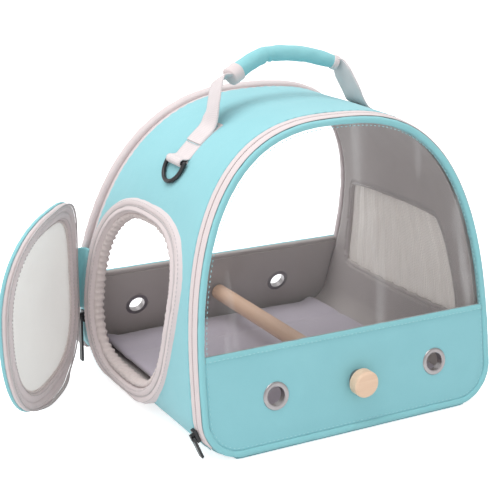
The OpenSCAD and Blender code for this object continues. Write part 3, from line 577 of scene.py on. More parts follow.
def wall_y(z, t, inset_front, inset_rear):
    """From the front edge (t = 0) to the rear edge (t = 1) of the wall at height z."""
    return front_y(z, inset_front) * (1 - t) + rear_y(z, inset_rear) * t


WINDOW_FOOT, WINDOW_TOP, NET_MARGIN = 63.0, 165.0, 1.5


def window_outline():
    foot, top, front, rear, cut = WINDOW_FOOT, WINDOW_TOP, -104.0, 75.0, 10.0
    lean, rear_lean = math.tan(FRONT_LEAN) * 1.6, math.tan(REAR_LEAN) * 0.6
    f_top, r_foot = front + (top - foot) * lean, rear + (top - foot) * rear_lean
    return np.array([(front + cut, foot), (r_foot - cut, foot), (r_foot - 1, foot + cut),
                     (rear + 1, top - cut), (rear - cut, top), (f_top + cut, top), (f_top - 1, top - cut),
                     (front + 1, foot + cut)])


def dense(poly, step=2.0):
    out = []
    for a, b in zip(poly, np.roll(poly, -1, 0)):
        count = max(1, int(np.linalg.norm(b - a) / step))
        out += [a + (b - a) * k / count for k in range(count)]
    return np.array(out)


def shrink(poly, margin):
    """A convex outline moved inwards by a margin."""
    c = poly.mean(0)
    tangent = np.roll(poly, -1, 0) - np.roll(poly, 1, 0)
    n = np.stack([tangent[:, 1], -tangent[:, 0]], 1)
    n /= np.linalg.norm(n, axis=1, keepdims=True) + 1e-9
    n *= np.sign(((poly - c) * n).sum(1, keepdims=True))
    return poly - n * margin


def inside(poly, y, z):
    hit = np.zeros(np.shape(y), bool)
    for (y0, z0), (y1, z1) in zip(poly, np.roll(poly, -1, 0)):
        cross = ((z0 > z) != (z1 > z)) & (y < (y1 - y0) * (z - z0) / (z1 - z0 + 1e-12) + y0)
        hit ^= cross
    return hit


ON_SIDE_WALL = 60.0  # past this from the middle, a point can lie in that side's opening
TURN_UP = 52.1  # where the base cloth meets the walls' cover, in degrees round the foot's corner
COVER_INSET, LINING_INSET, LINING_D = 13.0, 8.8, 0.35
WINDOW = rounded(window_outline(), 2)
DOORWAY = np.stack(door_outline((-20.0, -14.0)), 1)


def wall_sheet(name, d, mat, nodes, margins, bulge, seed, flip, inset, start):
    """The arch of cloth from corner to corner at one offset, with the doorway and the window left open."""
    items = loop_points(170, 10, 0, start)
    n_v = 96
    ts = np.linspace(0, 1, n_v)
    base = loop_at(items, d)
    p = np.zeros((len(items), n_v, 3))
    p[..., 0] = base[:, None, 0]
    p[..., 2] = base[:, None, 1]
    p[..., 1] = wall_y(base[:, None, 1], ts[None, :], inset, inset)
    outward = loop_at(items, d + 1) - base
    nrm = np.zeros_like(p)
    nrm[..., 0] = outward[:, None, 0]
    nrm[..., 2] = outward[:, None, 1]
    nrm /= np.linalg.norm(nrm, axis=2, keepdims=True)
    openings = [(-1, shrink(DOORWAY, -margins[0])), (1, shrink(WINDOW, margins[1]))]
    drop = np.zeros((len(items) - 1, n_v - 1), bool)
    for side, poly in openings:
        drop |= cells_in(inside(poly, p[..., 1], p[..., 2]) & (p[..., 0] * side > ON_SIDE_WALL))
    edge = np.zeros(p.shape[:2], bool)
    for side, poly in openings:
        fine = dense(poly, 1.0)
        rim = opening_edge(drop) & (p[..., 0] * side > ON_SIDE_WALL)
        for i, j in zip(*np.nonzero(rim)):
            k = np.argmin(((fine - p[i, j, 1:]) ** 2).sum(1))
            y, z = fine[k]
            p[i, j] = (side * float(hw(z, d)), y, z)
            edge[i, j] = True
    soft = np.sin(np.pi * ts) ** 0.5
    pucker = np.exp(-np.minimum(ts, 1 - ts) * 26)
    arc = distances(base)
    for i in range(len(items)):
        for j in range(n_v):
            q = p[i, j]
            if edge[i, j]:
                continue
            lift = bulge * soft[j] * (0.55 + 0.45 * wave(q, 0.011, seed))
            lift += 0.35 * wave(q, 0.045, seed + 3)
            lift += 0.35 * pucker[j] * math.sin(arc[i] * TAU / 9 + 2 * wave(q, 0.03, seed))
            p[i, j] = q + nrm[i, j] * (lift - 0.2) * (-1 if flip else 1)
    return grid_piece(name, p, mat, "shell", nodes, drop=drop, thick=0.9, flip=flip)


def arc_length(d, start):
    """Length of the cabin's arch at one offset, from corner to corner."""
    line = loop_at(loop_points(170, 10, 0, start), d)
    return float(np.linalg.norm(np.diff(line, axis=0), axis=1).sum())


COVER_ARC, LINING_ARC = arc_length(WALL_T, -TURN_UP), arc_length(LINING_D, -90.0)
COVER = wall_sheet("cover_cloth", WALL_T, "aqua", ["shell_cover"], (6.0, 1.2), 1.3, 1.0,
                   False, COVER_INSET, -TURN_UP)
LINING = wall_sheet("lining_cloth", LINING_D, "lining", ["shell_lining"], (1.0, 1.0), 0.3, 5.0,
                    True, LINING_INSET, -90.0)


def base_cloth():
    """The cloth under the base: flat on the ground, and turned up round the corners to meet the walls."""
    items = [("c", 1, t) for t in np.linspace(-TURN_UP, -90, 12, endpoint=False)]
    items += [("f", 0, t) for t in np.linspace(1, -1, 60)]
    items += [("c", -1, t) for t in np.linspace(270, 180 + TURN_UP, 13)[1:]]
    flat_z, flat_inset, turned_inset = 0.9, 2.0, 9.0

    def at(corner, t):
        x, z = corner
        inset = flat_inset if z < flat_z else turned_inset
        y = wall_y(z, t, inset, inset)
        return x, y, max(0.0, z) + 0.15 * (1 + wave((x, y, z), 0.03, 2.0))

    p = grid_of(loop_at(items, WALL_T), np.linspace(0, 1, 60), at)
    return grid_piece("base_cloth", p, "aqua", "shell", ["base_cover"], thick=0.9)


def floor_lining():
    """The lining over the base board, under the mat."""
    flat, top, inset = HALF_W - CORNER_R, FLOOR_Z - 0.2, 8.6

    def at(x, t):
        y = wall_y(FLOOR_Z, t, inset, inset)
        return x, y, top + 0.2 * wave((x, y, 0), 0.03, 4.0)

    p = grid_of(np.linspace(-flat, flat, 50), np.linspace(0, 1, 50), at)
    return grid_piece("floor_lining", p, "lining", "shell", ["base_lining"], thick=0.6)


BASE = base_cloth()
FLOOR_LINING = floor_lining()


def rim_sweep(name, place, profile, mat, body, nodes, amount, scale, seed):
    """A closed profile (offset, outwards) carried round the cabin's outline in a leaning plane."""
    items, lowest = loop_points(220, 16, 40), 2.0
    rows = [loop_at(items, d) for d, _ in profile]
    p = np.stack([place(r[:, 0], r[:, 1], w) for r, (_, w) in zip(rows, profile)], 1)
    p[..., 2] = np.maximum(p[..., 2], lowest)
    p = ruffle(p, grid_normals(p, True, True), amount, scale, seed)
    p[..., 2] = np.maximum(p[..., 2], lowest)
    return grid_piece(name, p, mat, body, nodes, closed_u=True, closed_v=True,
                      flip=place is front_at)


def cap_ends(obj):
    """Closes both ends of a tube whose first and last rings are open."""
    bm = bmesh.new()
    bm.from_mesh(obj.data)
    bm.verts.ensure_lookup_table()
    edges = [e for e in bm.edges if e.is_boundary]
    bmesh.ops.holes_fill(bm, edges=edges, sides=0)
    bmesh.ops.recalc_face_normals(bm, faces=bm.faces)
    bm.to_mesh(obj.data)
    bm.free()


RIM_PROFILE = rounded([(0.2, -6), (0.0, -1.5), (0.6, 1.3), (2.6, 2.1), (4.4, 1.9), (5.8, 0.6), (6.0, -2),
                       (5.8, -6)], 2)
PIPING = rim_sweep("front_piping", front_at, RIM_PROFILE, "rim", "front_panel",
                   ["front_rim", "front_rim_cord"], 0.35, 0.16, 2.0)
REAR_PROFILE = rounded([(0.0, -6), (0.0, -0.5), (1.5, 1.4), (4.5, 1.9), (8.0, 1.8), (11.0, 1.9), (12.6, 0.4),
                        (12.4, -2.5), (11.0, -5.5), (6.0, -6)], 2)
FLANGE = rim_sweep("rear_flange", rear_at, REAR_PROFILE, "tape", "rear_panel",
                   ["rear_rim", "rear_rim_cord"], 0.4, 0.12, 4.0)

ARCH_ONLY = loop_points(220, 10, 0, -39.0)


def wall_band(name, side, profile, mat, body, nodes, amount, scale, seed):
    """A closed profile (offset, inset from the panel's plane) carried over the arch beside a panel."""
    rows = [loop_at(ARCH_ONLY, d) for d, _ in profile]
    cols = []
    for r, (_, inset) in zip(rows, profile):
        y = front_y(r[:, 1], inset) if side == "front" else rear_y(r[:, 1], inset)
        cols.append(np.stack([r[:, 0], y, r[:, 1]], -1))
    p = np.stack(cols, 1)
    p = ruffle(p, grid_normals(p, False, True), amount, scale, seed)
    piece = grid_piece(name, p, mat, body, nodes, closed_v=True)
    cap_ends(piece)
    return piece


def zip_teeth(name, side, d, inset, mat, body, pitch=1.8):
    """A row of small coil turns along the meeting line of a zip."""
    line, up = loop_at(ARCH_ONLY, d), loop_at(ARCH_ONLY, d + 1)
    y = front_y if side == "front" else rear_y
    pts = np.stack([line[:, 0], y(line[:, 1], inset), line[:, 1]], -1)
    nrm = np.stack([up[:, 0], y(up[:, 1], inset), up[:, 1]], -1) - pts
    along = distances(pts)
    count = int(along[-1] / pitch)
    verts, faces = [], []
    for k in range(count):
        c, t, n, b = place_along((k + 0.5) * along[-1] / count, along, pts, nrm, 0.5)
        base = len(verts)
        for h, w, l in ((-0.4, 1.0, 0.55), (0.35, 0.9, 0.5), (0.6, 0.5, 0.3)):
            for sx, sy in ((-1, -1), (1, -1), (1, 1), (-1, 1)):
                verts.append(c + n * h + b * w * sx + t * l * sy)
        for q in range(2):
            for m in range(4):
                m2 = (m + 1) % 4
                faces.append([base + q * 4 + m, base + q * 4 + m2, base + (q + 1) * 4 + m2,
                              base + (q + 1) * 4 + m])
        faces.append([base + 3, base + 2, base + 1, base])
        faces.append([base + 8, base + 9, base + 10, base + 11])
    return mesh_piece(name, verts, faces, mat, body, (), smooth=False)


WALL_EDGE = rounded([(0.6, 9.4), (6.5, 9.4), (6.5, 12.4), (0.6, 12.4)], 2)
TAPE = rounded([(6.9, 8.6), (7.6, 8.3), (8.2, 9.6), (8.5, 11.4), (8.35, 13.2), (7.6, 13.6), (6.9, 12.8),
                (6.8, 10)], 2)
for side, panel in (("front", "front_panel"), ("rear", "rear_panel")):
    wall_band(f"{side}_wall_edge", side, WALL_EDGE, "lining", "shell",
              ["wall_pad"] if side == "front" else [], 0.2, 0.2, 3.0)
    wall_band(f"{side}_zip_tape", side, TAPE, "tape", "shell", [f"{side}_zip_shell_half"],
              0.12, 0.25, 6.0)
    zip_teeth(f"{side}_zip_teeth", side, 7.4, 8.9, "tape", "shell")
    band = [(5.2, 6.2), (7.2, 6.2), (7.8, 7.0), (7.4, 7.7), (5.4, 7.7)]
    if side == "front":
        band = [(6.1, 0.6), (7.0, 0.8), (7.7, 2.6), (7.9, 5.0), (7.7, 7.2), (6.8, 7.7), (5.2, 7.6),
                (5.3, 6.3), (6.2, 5.6)]
    wall_band(f"{side}_panel_tape", side, rounded(band, 2), "tape", panel, [f"{side}_zip_panel_half"],
              0.1, 0.25, 8.0)


def film_sheet(name, place, body, node):
    """The clear window: a limp film that bulges a little and ripples along its seam."""
    foot, margin = PANEL_H - 2, 0.6
    x_max = float(hw(foot, margin)) - 0.4

    def at(x, t):
        z = foot + (arch_z(min(abs(x), x_max - 0.3), margin) - foot) * t
        edge = min(1.0, 6 * t) * min(1.0, 8 * (1 - t)) * min(1.0, (x_max - abs(x)) / 12)
        ripple = 0.9 * wave((x, z, 0), 0.018, 3.0) + 0.35 * wave((x, z, 9), 0.05, 1.0)
        return place(x, z, -1.3 + edge * (0.7 + ripple))

    xs = np.sin(np.linspace(-math.pi / 2, math.pi / 2, 90)) * x_max
    p = grid_of(xs, np.linspace(0, 1, 64), at)
    return grid_piece(name, p, "film", body, [node], flip=place is rear_at)


FRONT_FILM = film_sheet("front_film", front_at, "front_panel", "front_window")
REAR_FILM = film_sheet("rear_film", rear_at, "rear_panel", "rear_window")


def low_panel(name, place, body, node, holes, w_out, inner=False):
    """One cloth of a panel's stiff foot, outer or inner, softly dimpled, with its fittings' holes."""
    nx, nz = 150, 52
    margin = 0.4
    x_max = HALF_W + margin
    xs = np.linspace(-x_max, x_max, nx)
    ts = np.linspace(0, 1, nz)
    top = PANEL_H - 3.5
    local = np.zeros((nx, nz, 2))
    for i, x in enumerate(xs):
        over = max(0.0, abs(x) - (HALF_W - CORNER_R))
        low = FLOOR_Z + CORNER_R - math.sqrt(max(0.0, (CORNER_R + margin) ** 2 - over ** 2))
        local[i, :, 0] = x
        local[i, :, 1] = low + (top - low) * ts
    drop = np.zeros((nx - 1, nz - 1), bool)
    for hx, hz, r in holes:
        off = np.hypot(local[..., 0] - hx, local[..., 1] - hz)
        drop |= cells_in(off < r)
        rim = opening_edge(drop) & (off < r + 6)
        for i, j in zip(*np.nonzero(rim)):
            v = local[i, j] - (hx, hz)
            local[i, j] = np.array((hx, hz)) + v / np.linalg.norm(v) * r
    p = np.zeros((nx, nz, 3))
    for i in range(nx):
        for j in range(nz):
            x, z = local[i, j]
            calm = min([1.0] + [max(0.0, (math.hypot(x - hx, z - hz) - r) / 14) for hx, hz, r in holes])
            edge = min(1.0, 7 * ts[j]) * min(1.0, 7 * (1 - ts[j])) * min(1.0, (x_max - abs(x)) / 10)
            dimple = 0.7 * wave((x, z, 4), 0.014, 2.0) + 0.3 * wave((x, z, 1), 0.05, 7.0)
            swell = 0.05 + calm * edge * (0.5 + dimple)
            w = w_out + (-swell if inner else swell)
            p[i, j] = place(x, z, w)
    mat, slot = ("lining", "lining") if inner else ("aqua", "cover_fabric")
    return grid_piece(name, p, mat, body, [node], drop=drop, thick=0.8,
                      flip=(place is rear_at) != inner)


EYELET_HOLE_R, PERCH_Z, PERCH_HOLE_R = 10.6, 46.0, 5.0
EYELETS = [(FITTING_X + side * EYELET_HALF, EYELET_Z, EYELET_HOLE_R) for side in (-1, 1)]
FRONT_HOLES = EYELETS + [(FITTING_X, PERCH_Z, PERCH_HOLE_R)]
FRONT_FOOT = low_panel("front_foot_cloth", front_at, "front_panel", "front_panel_cover", FRONT_HOLES, 0.0)
REAR_FOOT = low_panel("rear_foot_cloth", rear_at, "rear_panel", "rear_panel_cover", EYELETS, 0.0)
FRONT_INNER = low_panel("front_inner_cloth", front_at, "front_panel", "front_panel_lining", FRONT_HOLES,
                        -SHEET_T, True)
REAR_INNER = low_panel("rear_inner_cloth", rear_at, "rear_panel", "rear_panel_lining", EYELETS, -SHEET_T,
                       True)


def hem(name, place, body, node):
    """The folded strip that joins film and cloth, rounded over its folds, with a row of stitching."""
    profile = rounded([(-4.8, -5.4), (-4.8, 0.4), (-3.8, 1.0), (-1.4, 0.9), (0.3, 0.5), (0.4, -1.2),
                       (0.4, -5.4)], 2)
    inner_w, margin = -1.5, 0.4
    xs = np.linspace(-1, 1, 120)
    p = np.zeros((len(xs), len(profile), 3))
    for j, (rise, w) in enumerate(profile):
        p[:, j] = place(xs * float(hw(PANEL_H + rise, margin)), PANEL_H + rise, w)
    p = ruffle(p, grid_normals(p, False, True), 0.25, 0.09, 2.5)
    piece = grid_piece(name, p, "rim", body, [node], closed_v=True,
                       flip=place is front_at)
    piece.data.materials.append(MATS["lining"])
    for k, face in enumerate(piece.data.polygons):
        face.material_index = int(profile[k % len(profile)][1] < inner_w)
    cap_ends(piece)
    seam_z, seam_w = PANEL_H - 3.4, 1.0
    reach = float(hw(PANEL_H - 2, 0)) - 2
    across = np.linspace(-reach, reach, 60)
    row = place(across, seam_z, seam_w)
    up = place(across, seam_z, seam_w + 1) - row
    return piece, capsule_chain(name + "_stitches", row, up, "thread", body, pitch=4.0,
                                lift=0.0)


FRONT_HEM = hem("front_hem_fold", front_at, "front_panel", "front_hem")
REAR_HEM = hem("rear_hem_fold", rear_at, "rear_panel", "rear_hem")


def front_edge_stitches():
    seam = loop_at(loop_points(200, 14, 30), -1.6)
    row = front_at(seam[:, 0], seam[:, 1], -0.1)
    up = front_at(seam[:, 0], seam[:, 1], 1.0) - row
    capsule_chain("front_edge_stitches", row, up, "thread", "front_panel", pitch=4.2,
                  lift=0.25)


front_edge_stitches()


# ---- side doorway and door ----

def door_sweep(name, profile, mat, body, nodes, turned, amount=0.0, scale=0.1, seed=0.0, n=200,
               frill=0.0, pitch=8.0):
    """A closed profile (margin, offset) carried round the doorway's outline on the arch."""
    cols = []
    for grow, d in profile:
        y, z = door_outline(grow, n)
        cols.append(np.stack([-(flared(z, d) if d > 8.5 else hw(z, d)), y, z], -1))
    p = np.stack(cols, 1)
    nrm = grid_normals(p, True, True)
    if amount:
        p = ruffle(p, nrm, amount, scale, seed)
    if frill:
        around = distances(p[:, 0])
        turns = round(around[-1] / pitch)
        phase = np.array([TAU * turns * a / around[-1] + 1.3 * wave((a, 0, 0), 0.03, seed) for a in around])
        deep = np.linspace(0, 1, len(profile)) if frill > 0 else np.ones(len(profile))
        sway = np.sin(phase)[:, None] * np.minimum(1, 2 * np.minimum(deep, 1 - deep + 0.3))[None, :]
        p += nrm * (abs(frill) * sway)[..., None]
    if turned:
        p = swing(p)
    return grid_piece(name, p, mat, body, nodes, closed_u=True, closed_v=True)


def ring_profile(g_out, g_in, d_low, d_high, lobes, dent):
    """Cross-section of a padded ring: low edges, two crowned lobes and a sewn dent between them."""
    top = []
    for k in range(25):
        t = k / 24
        crown = abs(math.sin(math.pi * t * lobes)) ** 0.6
        ease = min(1.0, 5 * t, 5 * (1 - t))
        top.append((g_out + (g_in - g_out) * t, d_low + (d_high - d_low) * ease * (1 - dent + dent * crown)))
    return top


def scaled_margin(g):
    """A margin across the ring: 20 at the sides is 14 at the top and foot."""
    return (g, g * 0.7)


ring_top = ring_profile(0.0, -20.0, 8.2, 12.1, 2, 0.35)
ring_section = [(scaled_margin(g), d) for g, d in ring_top] + [(scaled_margin(-20.2), 5.0),
                                                               (scaled_margin(-18), 4.0),
                                                               (scaled_margin(-1.0), 7.4)]
DOORWAY_PAD = door_sweep("doorway_padding", ring_section, "tape", "shell", ["doorway_ring"], False,
                         0.3, 0.14, 1.0)
frill_section = [((-19.6, -13.6), 8.4), ((-21.2, -15.2), 8.8), ((-23.2, -17.2), 8.0), ((-24.4, -18.4), 5.6),
                 ((-24.6, -18.6), 2.4), ((-23.4, -17.4), 0.0), ((-21.0, -15.0), 0.4), ((-20.0, -14.0), 4.0)]
FRILL = door_sweep("doorway_frill", frill_section, "frill", "shell", ["doorway_fringe"], False,
                   0.7, 0.16, 2.0, n=760, frill=0.75, pitch=7.0)
zip_section = [((-9.4, -6.7), 10.6), ((-9.5, -6.8), 11.7), ((-10.6, -7.6), 11.8), ((-10.8, -7.7), 10.6)]
door_sweep("doorway_zip_line", zip_section, "grey_thread", "shell", ["doorway_zip_half"],
           False)


def crowned(g_out, g_in, d_mid, half, lobes, dent):
    """A padded strip's closed section, crowned on both faces."""
    ts = np.linspace(0, 1, 21)
    width = [half * min(1.0, (6 * t) ** 0.5, (6 * (1 - t)) ** 0.5)
             * (1 - dent + dent * abs(math.sin(math.pi * t * lobes)) ** 0.5)
             for t in ts]
    upper = [(g_out + (g_in - g_out) * t, d_mid + w) for t, w in zip(ts, width)]
    lower = [(g_out + (g_in - g_out) * t, d_mid - w) for t, w in reversed(list(zip(ts, width)))]
    return upper + lower[1:-1]


door_mid = (DOOR_IN + DOOR_OUT) / 2 + 0.4
border = crowned(-0.5, -16.6, door_mid - 0.6, 3.2, 2, 0.45)
DOOR_PAD = door_sweep("door_border", border, "tape", "side_door", ["door_border_pad"], True, 0.3,
                      0.13, 3.0)
edge_section = rounded([(-0.2, 17.6), (0.3, 19.0), (0.0, 20.6), (-2.0, 21.0), (-4.4, 20.6), (-4.6, 19.4),
                        (-2.6, 18.0)], 1)
door_sweep("door_binding", [tuple(q) for q in edge_section], "rim", "side_door", ["door_edge_band"],
           True, 0.2, 0.2, 4.0)
piping_section = rounded([(-16.2, 15.4), (-16.2, 18.2), (-17.4, 18.8), (-18.2, 18.0), (-18.2, 15.6),
                          (-17.4, 15.0)], 1)
door_sweep("door_inner_piping", [tuple(q) for q in piping_section], "frill", "side_door", ["door_piping"],
           True, 0.2, 0.2, 5.0, n=760, frill=-0.4, pitch=4.2)
line = [(-0.7, 12.7), (-0.7, 13.6), (-2.3, 13.6), (-2.3, 12.7)]
door_sweep("door_zip_line", line, "grey_thread", "side_door", ["door_zip_half"], True)


def filled_door(name, grow, d, mat, nodes):
    """A sheet of netting that fills the door's border, slightly slack."""
    y, z = door_outline(grow, 144)
    rs = np.linspace(0.0, 1, 34)
    cy, cz = DOOR_Y, DOOR_Z
    yy = cy + (y[:, None] - cy) * rs
    zz = cz + (z[:, None] - cz) * rs
    p = np.stack([-flared(zz, d), yy, zz], -1)
    for i in range(p.shape[0]):
        for j in range(p.shape[1]):
            slack = 1 - rs[j] ** 2
            p[i, j, 0] -= slack * (0.8 + 1.4 * wave(p[i, j], 0.018, 4.0)) + 0.25 * wave(p[i, j], 0.09, 1.0)
    p = swing(p)
    obj = grid_piece(name, p, mat, "side_door", nodes, closed_u=True, thick=0.35)
    layer = obj.data.uv_layers[0]
    for loop in obj.data.loops:
        co = obj.data.vertices[loop.vertex_index].co
        layer.data[loop.index].uv = (math.hypot(co.x - DOOR_HINGE[0] * MM, co.y - DOOR_HINGE[1] * MM), co.z)
    return obj


door_net = filled_door("door_netting", -17.2, door_mid, "net", ["door_mesh"])


def seam_row(name, grow, d, body, turned, sign=1, lift=0.05):
    """A row of stitches round the doorway or the door, on the face that sign points to."""
    y, z = door_outline(grow, 220)
    row = np.stack([-flared(z, d), y, z], -1)
    up = np.stack([-flared(z, d + sign), y, z], -1) - row
    if turned:
        moved = swing(row)
        up = swing(row + up) - moved
        row = moved
    row, up = np.concatenate([row, row[:1]]), np.concatenate([up, up[:1]])
    return capsule_chain(name, row, up, "grey_thread", body, pitch=3.8, lift=lift)


seam_row("doorway_seam", scaled_margin(-3.6), 11.7, "shell", False)
seam_row("doorway_seam_inner", scaled_margin(-16.8), 11.6, "shell", False)
for tag, grow in (("outer", -4.6), ("inner", -14.6)):
    for face, d, sign in (("in", door_mid - 3.6, -1), ("out", door_mid + 2.4, 1)):
        seam_row(f"door_seam_{tag}_{face}", grow, d, "side_door", True, sign, 0.0)


def hinge_cloth():
    """The strip of cloth from the ring's rear edge to the door's, bending at the hinge line."""
    foot, top = 61, 123
    y_out, z_out = door_outline(0.0, 400)
    rear = y_out > DOOR_Y
    order = np.argsort(z_out[rear])
    p = []
    for z in np.linspace(foot, top, 40):
        edge = float(np.interp(z, z_out[rear][order], y_out[rear][order]))
        shell_a = np.array((-float(hw(z, 12.3)), edge - 3, z))
        shell_b = np.array((-float(hw(z, 12.6)), edge + 2.0, z))
        hinge = np.array((DOOR_HINGE[0] - 0.9, min(DOOR_HINGE[1], edge + 5) + 0.4, z))
        door_a = swing(np.array((-float(hw(z, 14.2)) + 0.2, edge - 1.0, z)))
        door_b = swing(np.array((-float(hw(z, 17.0)), edge + 0.5, z)))
        knots = np.array([shell_a, shell_b, hinge, door_a, door_b])
        p.append(smooth_line(knots, 3))
    p = np.array(p)
    obj = grid_piece("hinge_cloth", p, "rim", None, ["door_hinge_strip", "door_hinge_fold"],
                     thick=1.0)
    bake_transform(obj)
    return obj


HINGE = hinge_cloth()


# ---- right mesh window ----

def pleated_net():
    """Netting gathered into soft upright pleats inside its binding."""
    foot, top = WINDOW_FOOT + NET_MARGIN, WINDOW_TOP - NET_MARGIN
    ny, nz = 220, 44
    middle_d, depth = 3.0, 1.15
    ys = np.linspace(0, 1, ny)
    zs = np.linspace(foot, top, nz)
    poly = WINDOW
    p = np.zeros((ny, nz, 3))
    for j, z in enumerate(zs):
        hits = []
        for (y0, z0), (y1, z1) in zip(poly, np.roll(poly, -1, 0)):
            if (z0 - z) * (z1 - z) < 0:
                hits.append(y0 + (y1 - y0) * (z - z0) / (z1 - z0))
        if len(hits) > 1:
            lo, hi = min(hits) + NET_MARGIN, max(hits) - NET_MARGIN
        else:
            lo, hi = poly[:, 0].min(), poly[:, 0].max()
        for i, t in enumerate(ys):
            y = lo + (hi - lo) * t
            deep = 0.9 + 0.5 * wave((y, z, 5), 0.012, 8.0)
            fold = math.sin(TAU * 9 * t + 0.9 * wave((y, z, 0), 0.02, 2.0)) * deep
            fold += 0.35 * math.sin(TAU * 23 * t + 2 * wave((y, z, 3), 0.03, 5.0))
            calm = min(1.0, 14 * t, 14 * (1 - t))
            p[i, j] = (float(hw(z, middle_d + depth * fold * calm)), y, z)
    return grid_piece("gathered_net", p, "window_net", "shell", ["mesh_window"], thick=0.35)


window_net = pleated_net()


def window_binding():
    """Cloth binding sewn round the mesh window, on both faces of the wall."""
    line = dense(rounded(window_outline(), 3), 2.4)
    section = [(-0.4, 8.5), (0.6, 9.6), (3.4, 9.6), (4.2, 8.4), (4.3, 4.2), (4.3, 1.0), (3.6, -0.3),
               (1.4, -0.5), (-0.6, 0.1)]
    cols = []
    for margin, d in section:
        q = shrink(line, margin)
        cols.append(np.stack([hw(q[:, 1], d), q[:, 0], q[:, 1]], -1))
    p = np.stack(cols, 1)
    p = ruffle(p, grid_normals(p, True, True), 0.3, 0.12, 6.0)
    grid_piece("window_binding", p, "lining", "shell", ["mesh_window_frame"], closed_u=True, closed_v=True,
               flip=True)
    for tag, d, sign in (("out", 9.5, 1), ("in", -0.4, -1)):
        q = shrink(line, 2.3)
        row = np.stack([hw(q[:, 1], d), q[:, 0], q[:, 1]], -1)
        up = (np.stack([hw(q[:, 1], d + 1), q[:, 0], q[:, 1]], -1) - row) * sign
        capsule_chain(f"window_stitches_{tag}", row, up, "grey_thread", "shell", pitch=4.0,
                      lift=0.1)


window_binding()


# ---- floor mat ----

PAD_HALF_W, PAD_Y0, PAD_Y1, PAD_FOOT, PAD_TOP = 126.0, -134.5, 133.0, 9.4, 15.6
CHANNELS, CHANNEL_DEPTH, CHANNEL_WIDTH = (-70, 0, 70), 2.0, 4.2  # sewn across the mat, from its middle
BLOWN_MOST = 2.8 * MM


def corner_floor(x, clear):
    """Height of the cabin's rounded lower corner at x, with a clearance."""
    over = max(0.0, abs(x) - (HALF_W - CORNER_R))
    return FLOOR_Z + CORNER_R - math.sqrt(max(1.0, (CORNER_R - clear) ** 2 - over ** 2))


def pad_box():
    """The mat's closed box: two fine grids and the sides between them."""
    bm = bmesh.new()
    nx, ny = 44, 46
    rows = []
    for level in (0, 1):
        layer = []
        for i in range(nx + 1):
            for j in range(ny + 1):
                x = -PAD_HALF_W + 2 * PAD_HALF_W * i / nx
                y = PAD_Y0 + (PAD_Y1 - PAD_Y0) * j / ny
                if level:
                    z = PAD_TOP + 1.4 * max(0.0, (abs(x) - 108) / 18)
                else:
                    z = max(PAD_FOOT - 0.6, corner_floor(x, 0.9))
                layer.append(bm.verts.new((x * MM, y * MM, z * MM)))
        rows.append(layer)
    at = lambda l, i, j: rows[l][i * (ny + 1) + j]
    for i in range(nx):
        for j in range(ny):
            bm.faces.new((at(0, i, j), at(0, i, j + 1), at(0, i + 1, j + 1), at(0, i + 1, j)))
            bm.faces.new((at(1, i, j), at(1, i + 1, j), at(1, i + 1, j + 1), at(1, i, j + 1)))
    for i in range(nx):
        bm.faces.new((at(0, i, 0), at(0, i + 1, 0), at(1, i + 1, 0), at(1, i, 0)))
        bm.faces.new((at(0, i + 1, ny), at(0, i, ny), at(1, i, ny), at(1, i + 1, ny)))
    for j in range(ny):
        bm.faces.new((at(0, 0, j + 1), at(0, 0, j), at(1, 0, j), at(1, 0, j + 1)))
        bm.faces.new((at(0, nx, j), at(0, nx, j + 1), at(1, nx, j + 1), at(1, nx, j)))
    mesh = bpy.data.meshes.new("floor_pad")
    bm.to_mesh(mesh)
    bm.free()
    return mesh


def blown_up(obj, rest):
    """The mat's points after a cloth simulation under pressure, its underside sewn down."""
    mod = obj.modifiers.new("cloth", "CLOTH")
    s = mod.settings
    s.use_pressure = True
    s.uniform_pressure_force = 4.0
    s.effector_weights.gravity = 0.0
    s.quality = 5
    s.mass = 0.3
    group = obj.vertex_groups.new(name="sewn")
    group.add([i for i, c in enumerate(rest) if c[2] < 0.0095 and abs(c[0]) < 0.118], 1.0, "REPLACE")
    s.vertex_group_mass = "sewn"
    last = 20
    mod.point_cache.frame_start, mod.point_cache.frame_end = 1, last
    for f in range(1, last + 1):
        bpy.context.scene.frame_set(f)
    shown = obj.evaluated_get(bpy.context.evaluated_depsgraph_get())
    blown = np.array([v.co for v in shown.data.vertices])
    obj.modifiers.remove(mod)
    bpy.context.scene.frame_set(1)
    move = np.nan_to_num(blown - rest)
    size = np.linalg.norm(move, axis=1, keepdims=True)
    return rest + move * np.minimum(1.0, BLOWN_MOST / np.maximum(size, 1e-9))


def floor_pad():
    """The padded floor mat: blown up by a cloth simulation, then drawn down along its sewn channels."""
    mesh = pad_box()
    obj = bpy.data.objects.new("floor_pad", mesh)
    bpy.context.scene.collection.objects.link(obj)
    rest = np.array([v.co for v in mesh.vertices])
    rest = blown_up(obj, rest)
    y_mid, highest = (PAD_Y0 + PAD_Y1) / 2, 20.6
    for i, v in enumerate(mesh.vertices):
        x, y, z = rest[i] / MM
        if z > 13.5:
            u = min(1.0, (PAD_HALF_W - abs(x)) / 16) * min(1.0, (y - PAD_Y0) / 16, (PAD_Y1 - y) / 16)
            z += 2.6 * math.sin(math.pi / 2 * max(0.0, u)) + 0.7 * wave((x, y, 2), 0.02, 1.5)
            for c in CHANNELS:
                z -= CHANNEL_DEPTH * math.exp(-((y - y_mid - c) / CHANNEL_WIDTH) ** 2)
            z = min(z, highest)
        v.co = Vector((x, y, max(z, FLOOR_Z + 0.4, corner_floor(x, 0.7)))) * MM
    for poly in mesh.polygons:
        poly.use_smooth = True
    layer = mesh.uv_layers.new(name="UVMap")
    for loop in mesh.loops:
        co = mesh.vertices[loop.vertex_index].co
        layer.data[loop.index].uv = (co.x + co.z, co.y)
    sub = obj.modifiers.new("subdivide", "SUBSURF")
    sub.levels = sub.render_levels = 1
    obj.data.materials.append(MATS["mat"])
    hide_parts("floor_mat")
    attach(obj, "shell")
    return obj


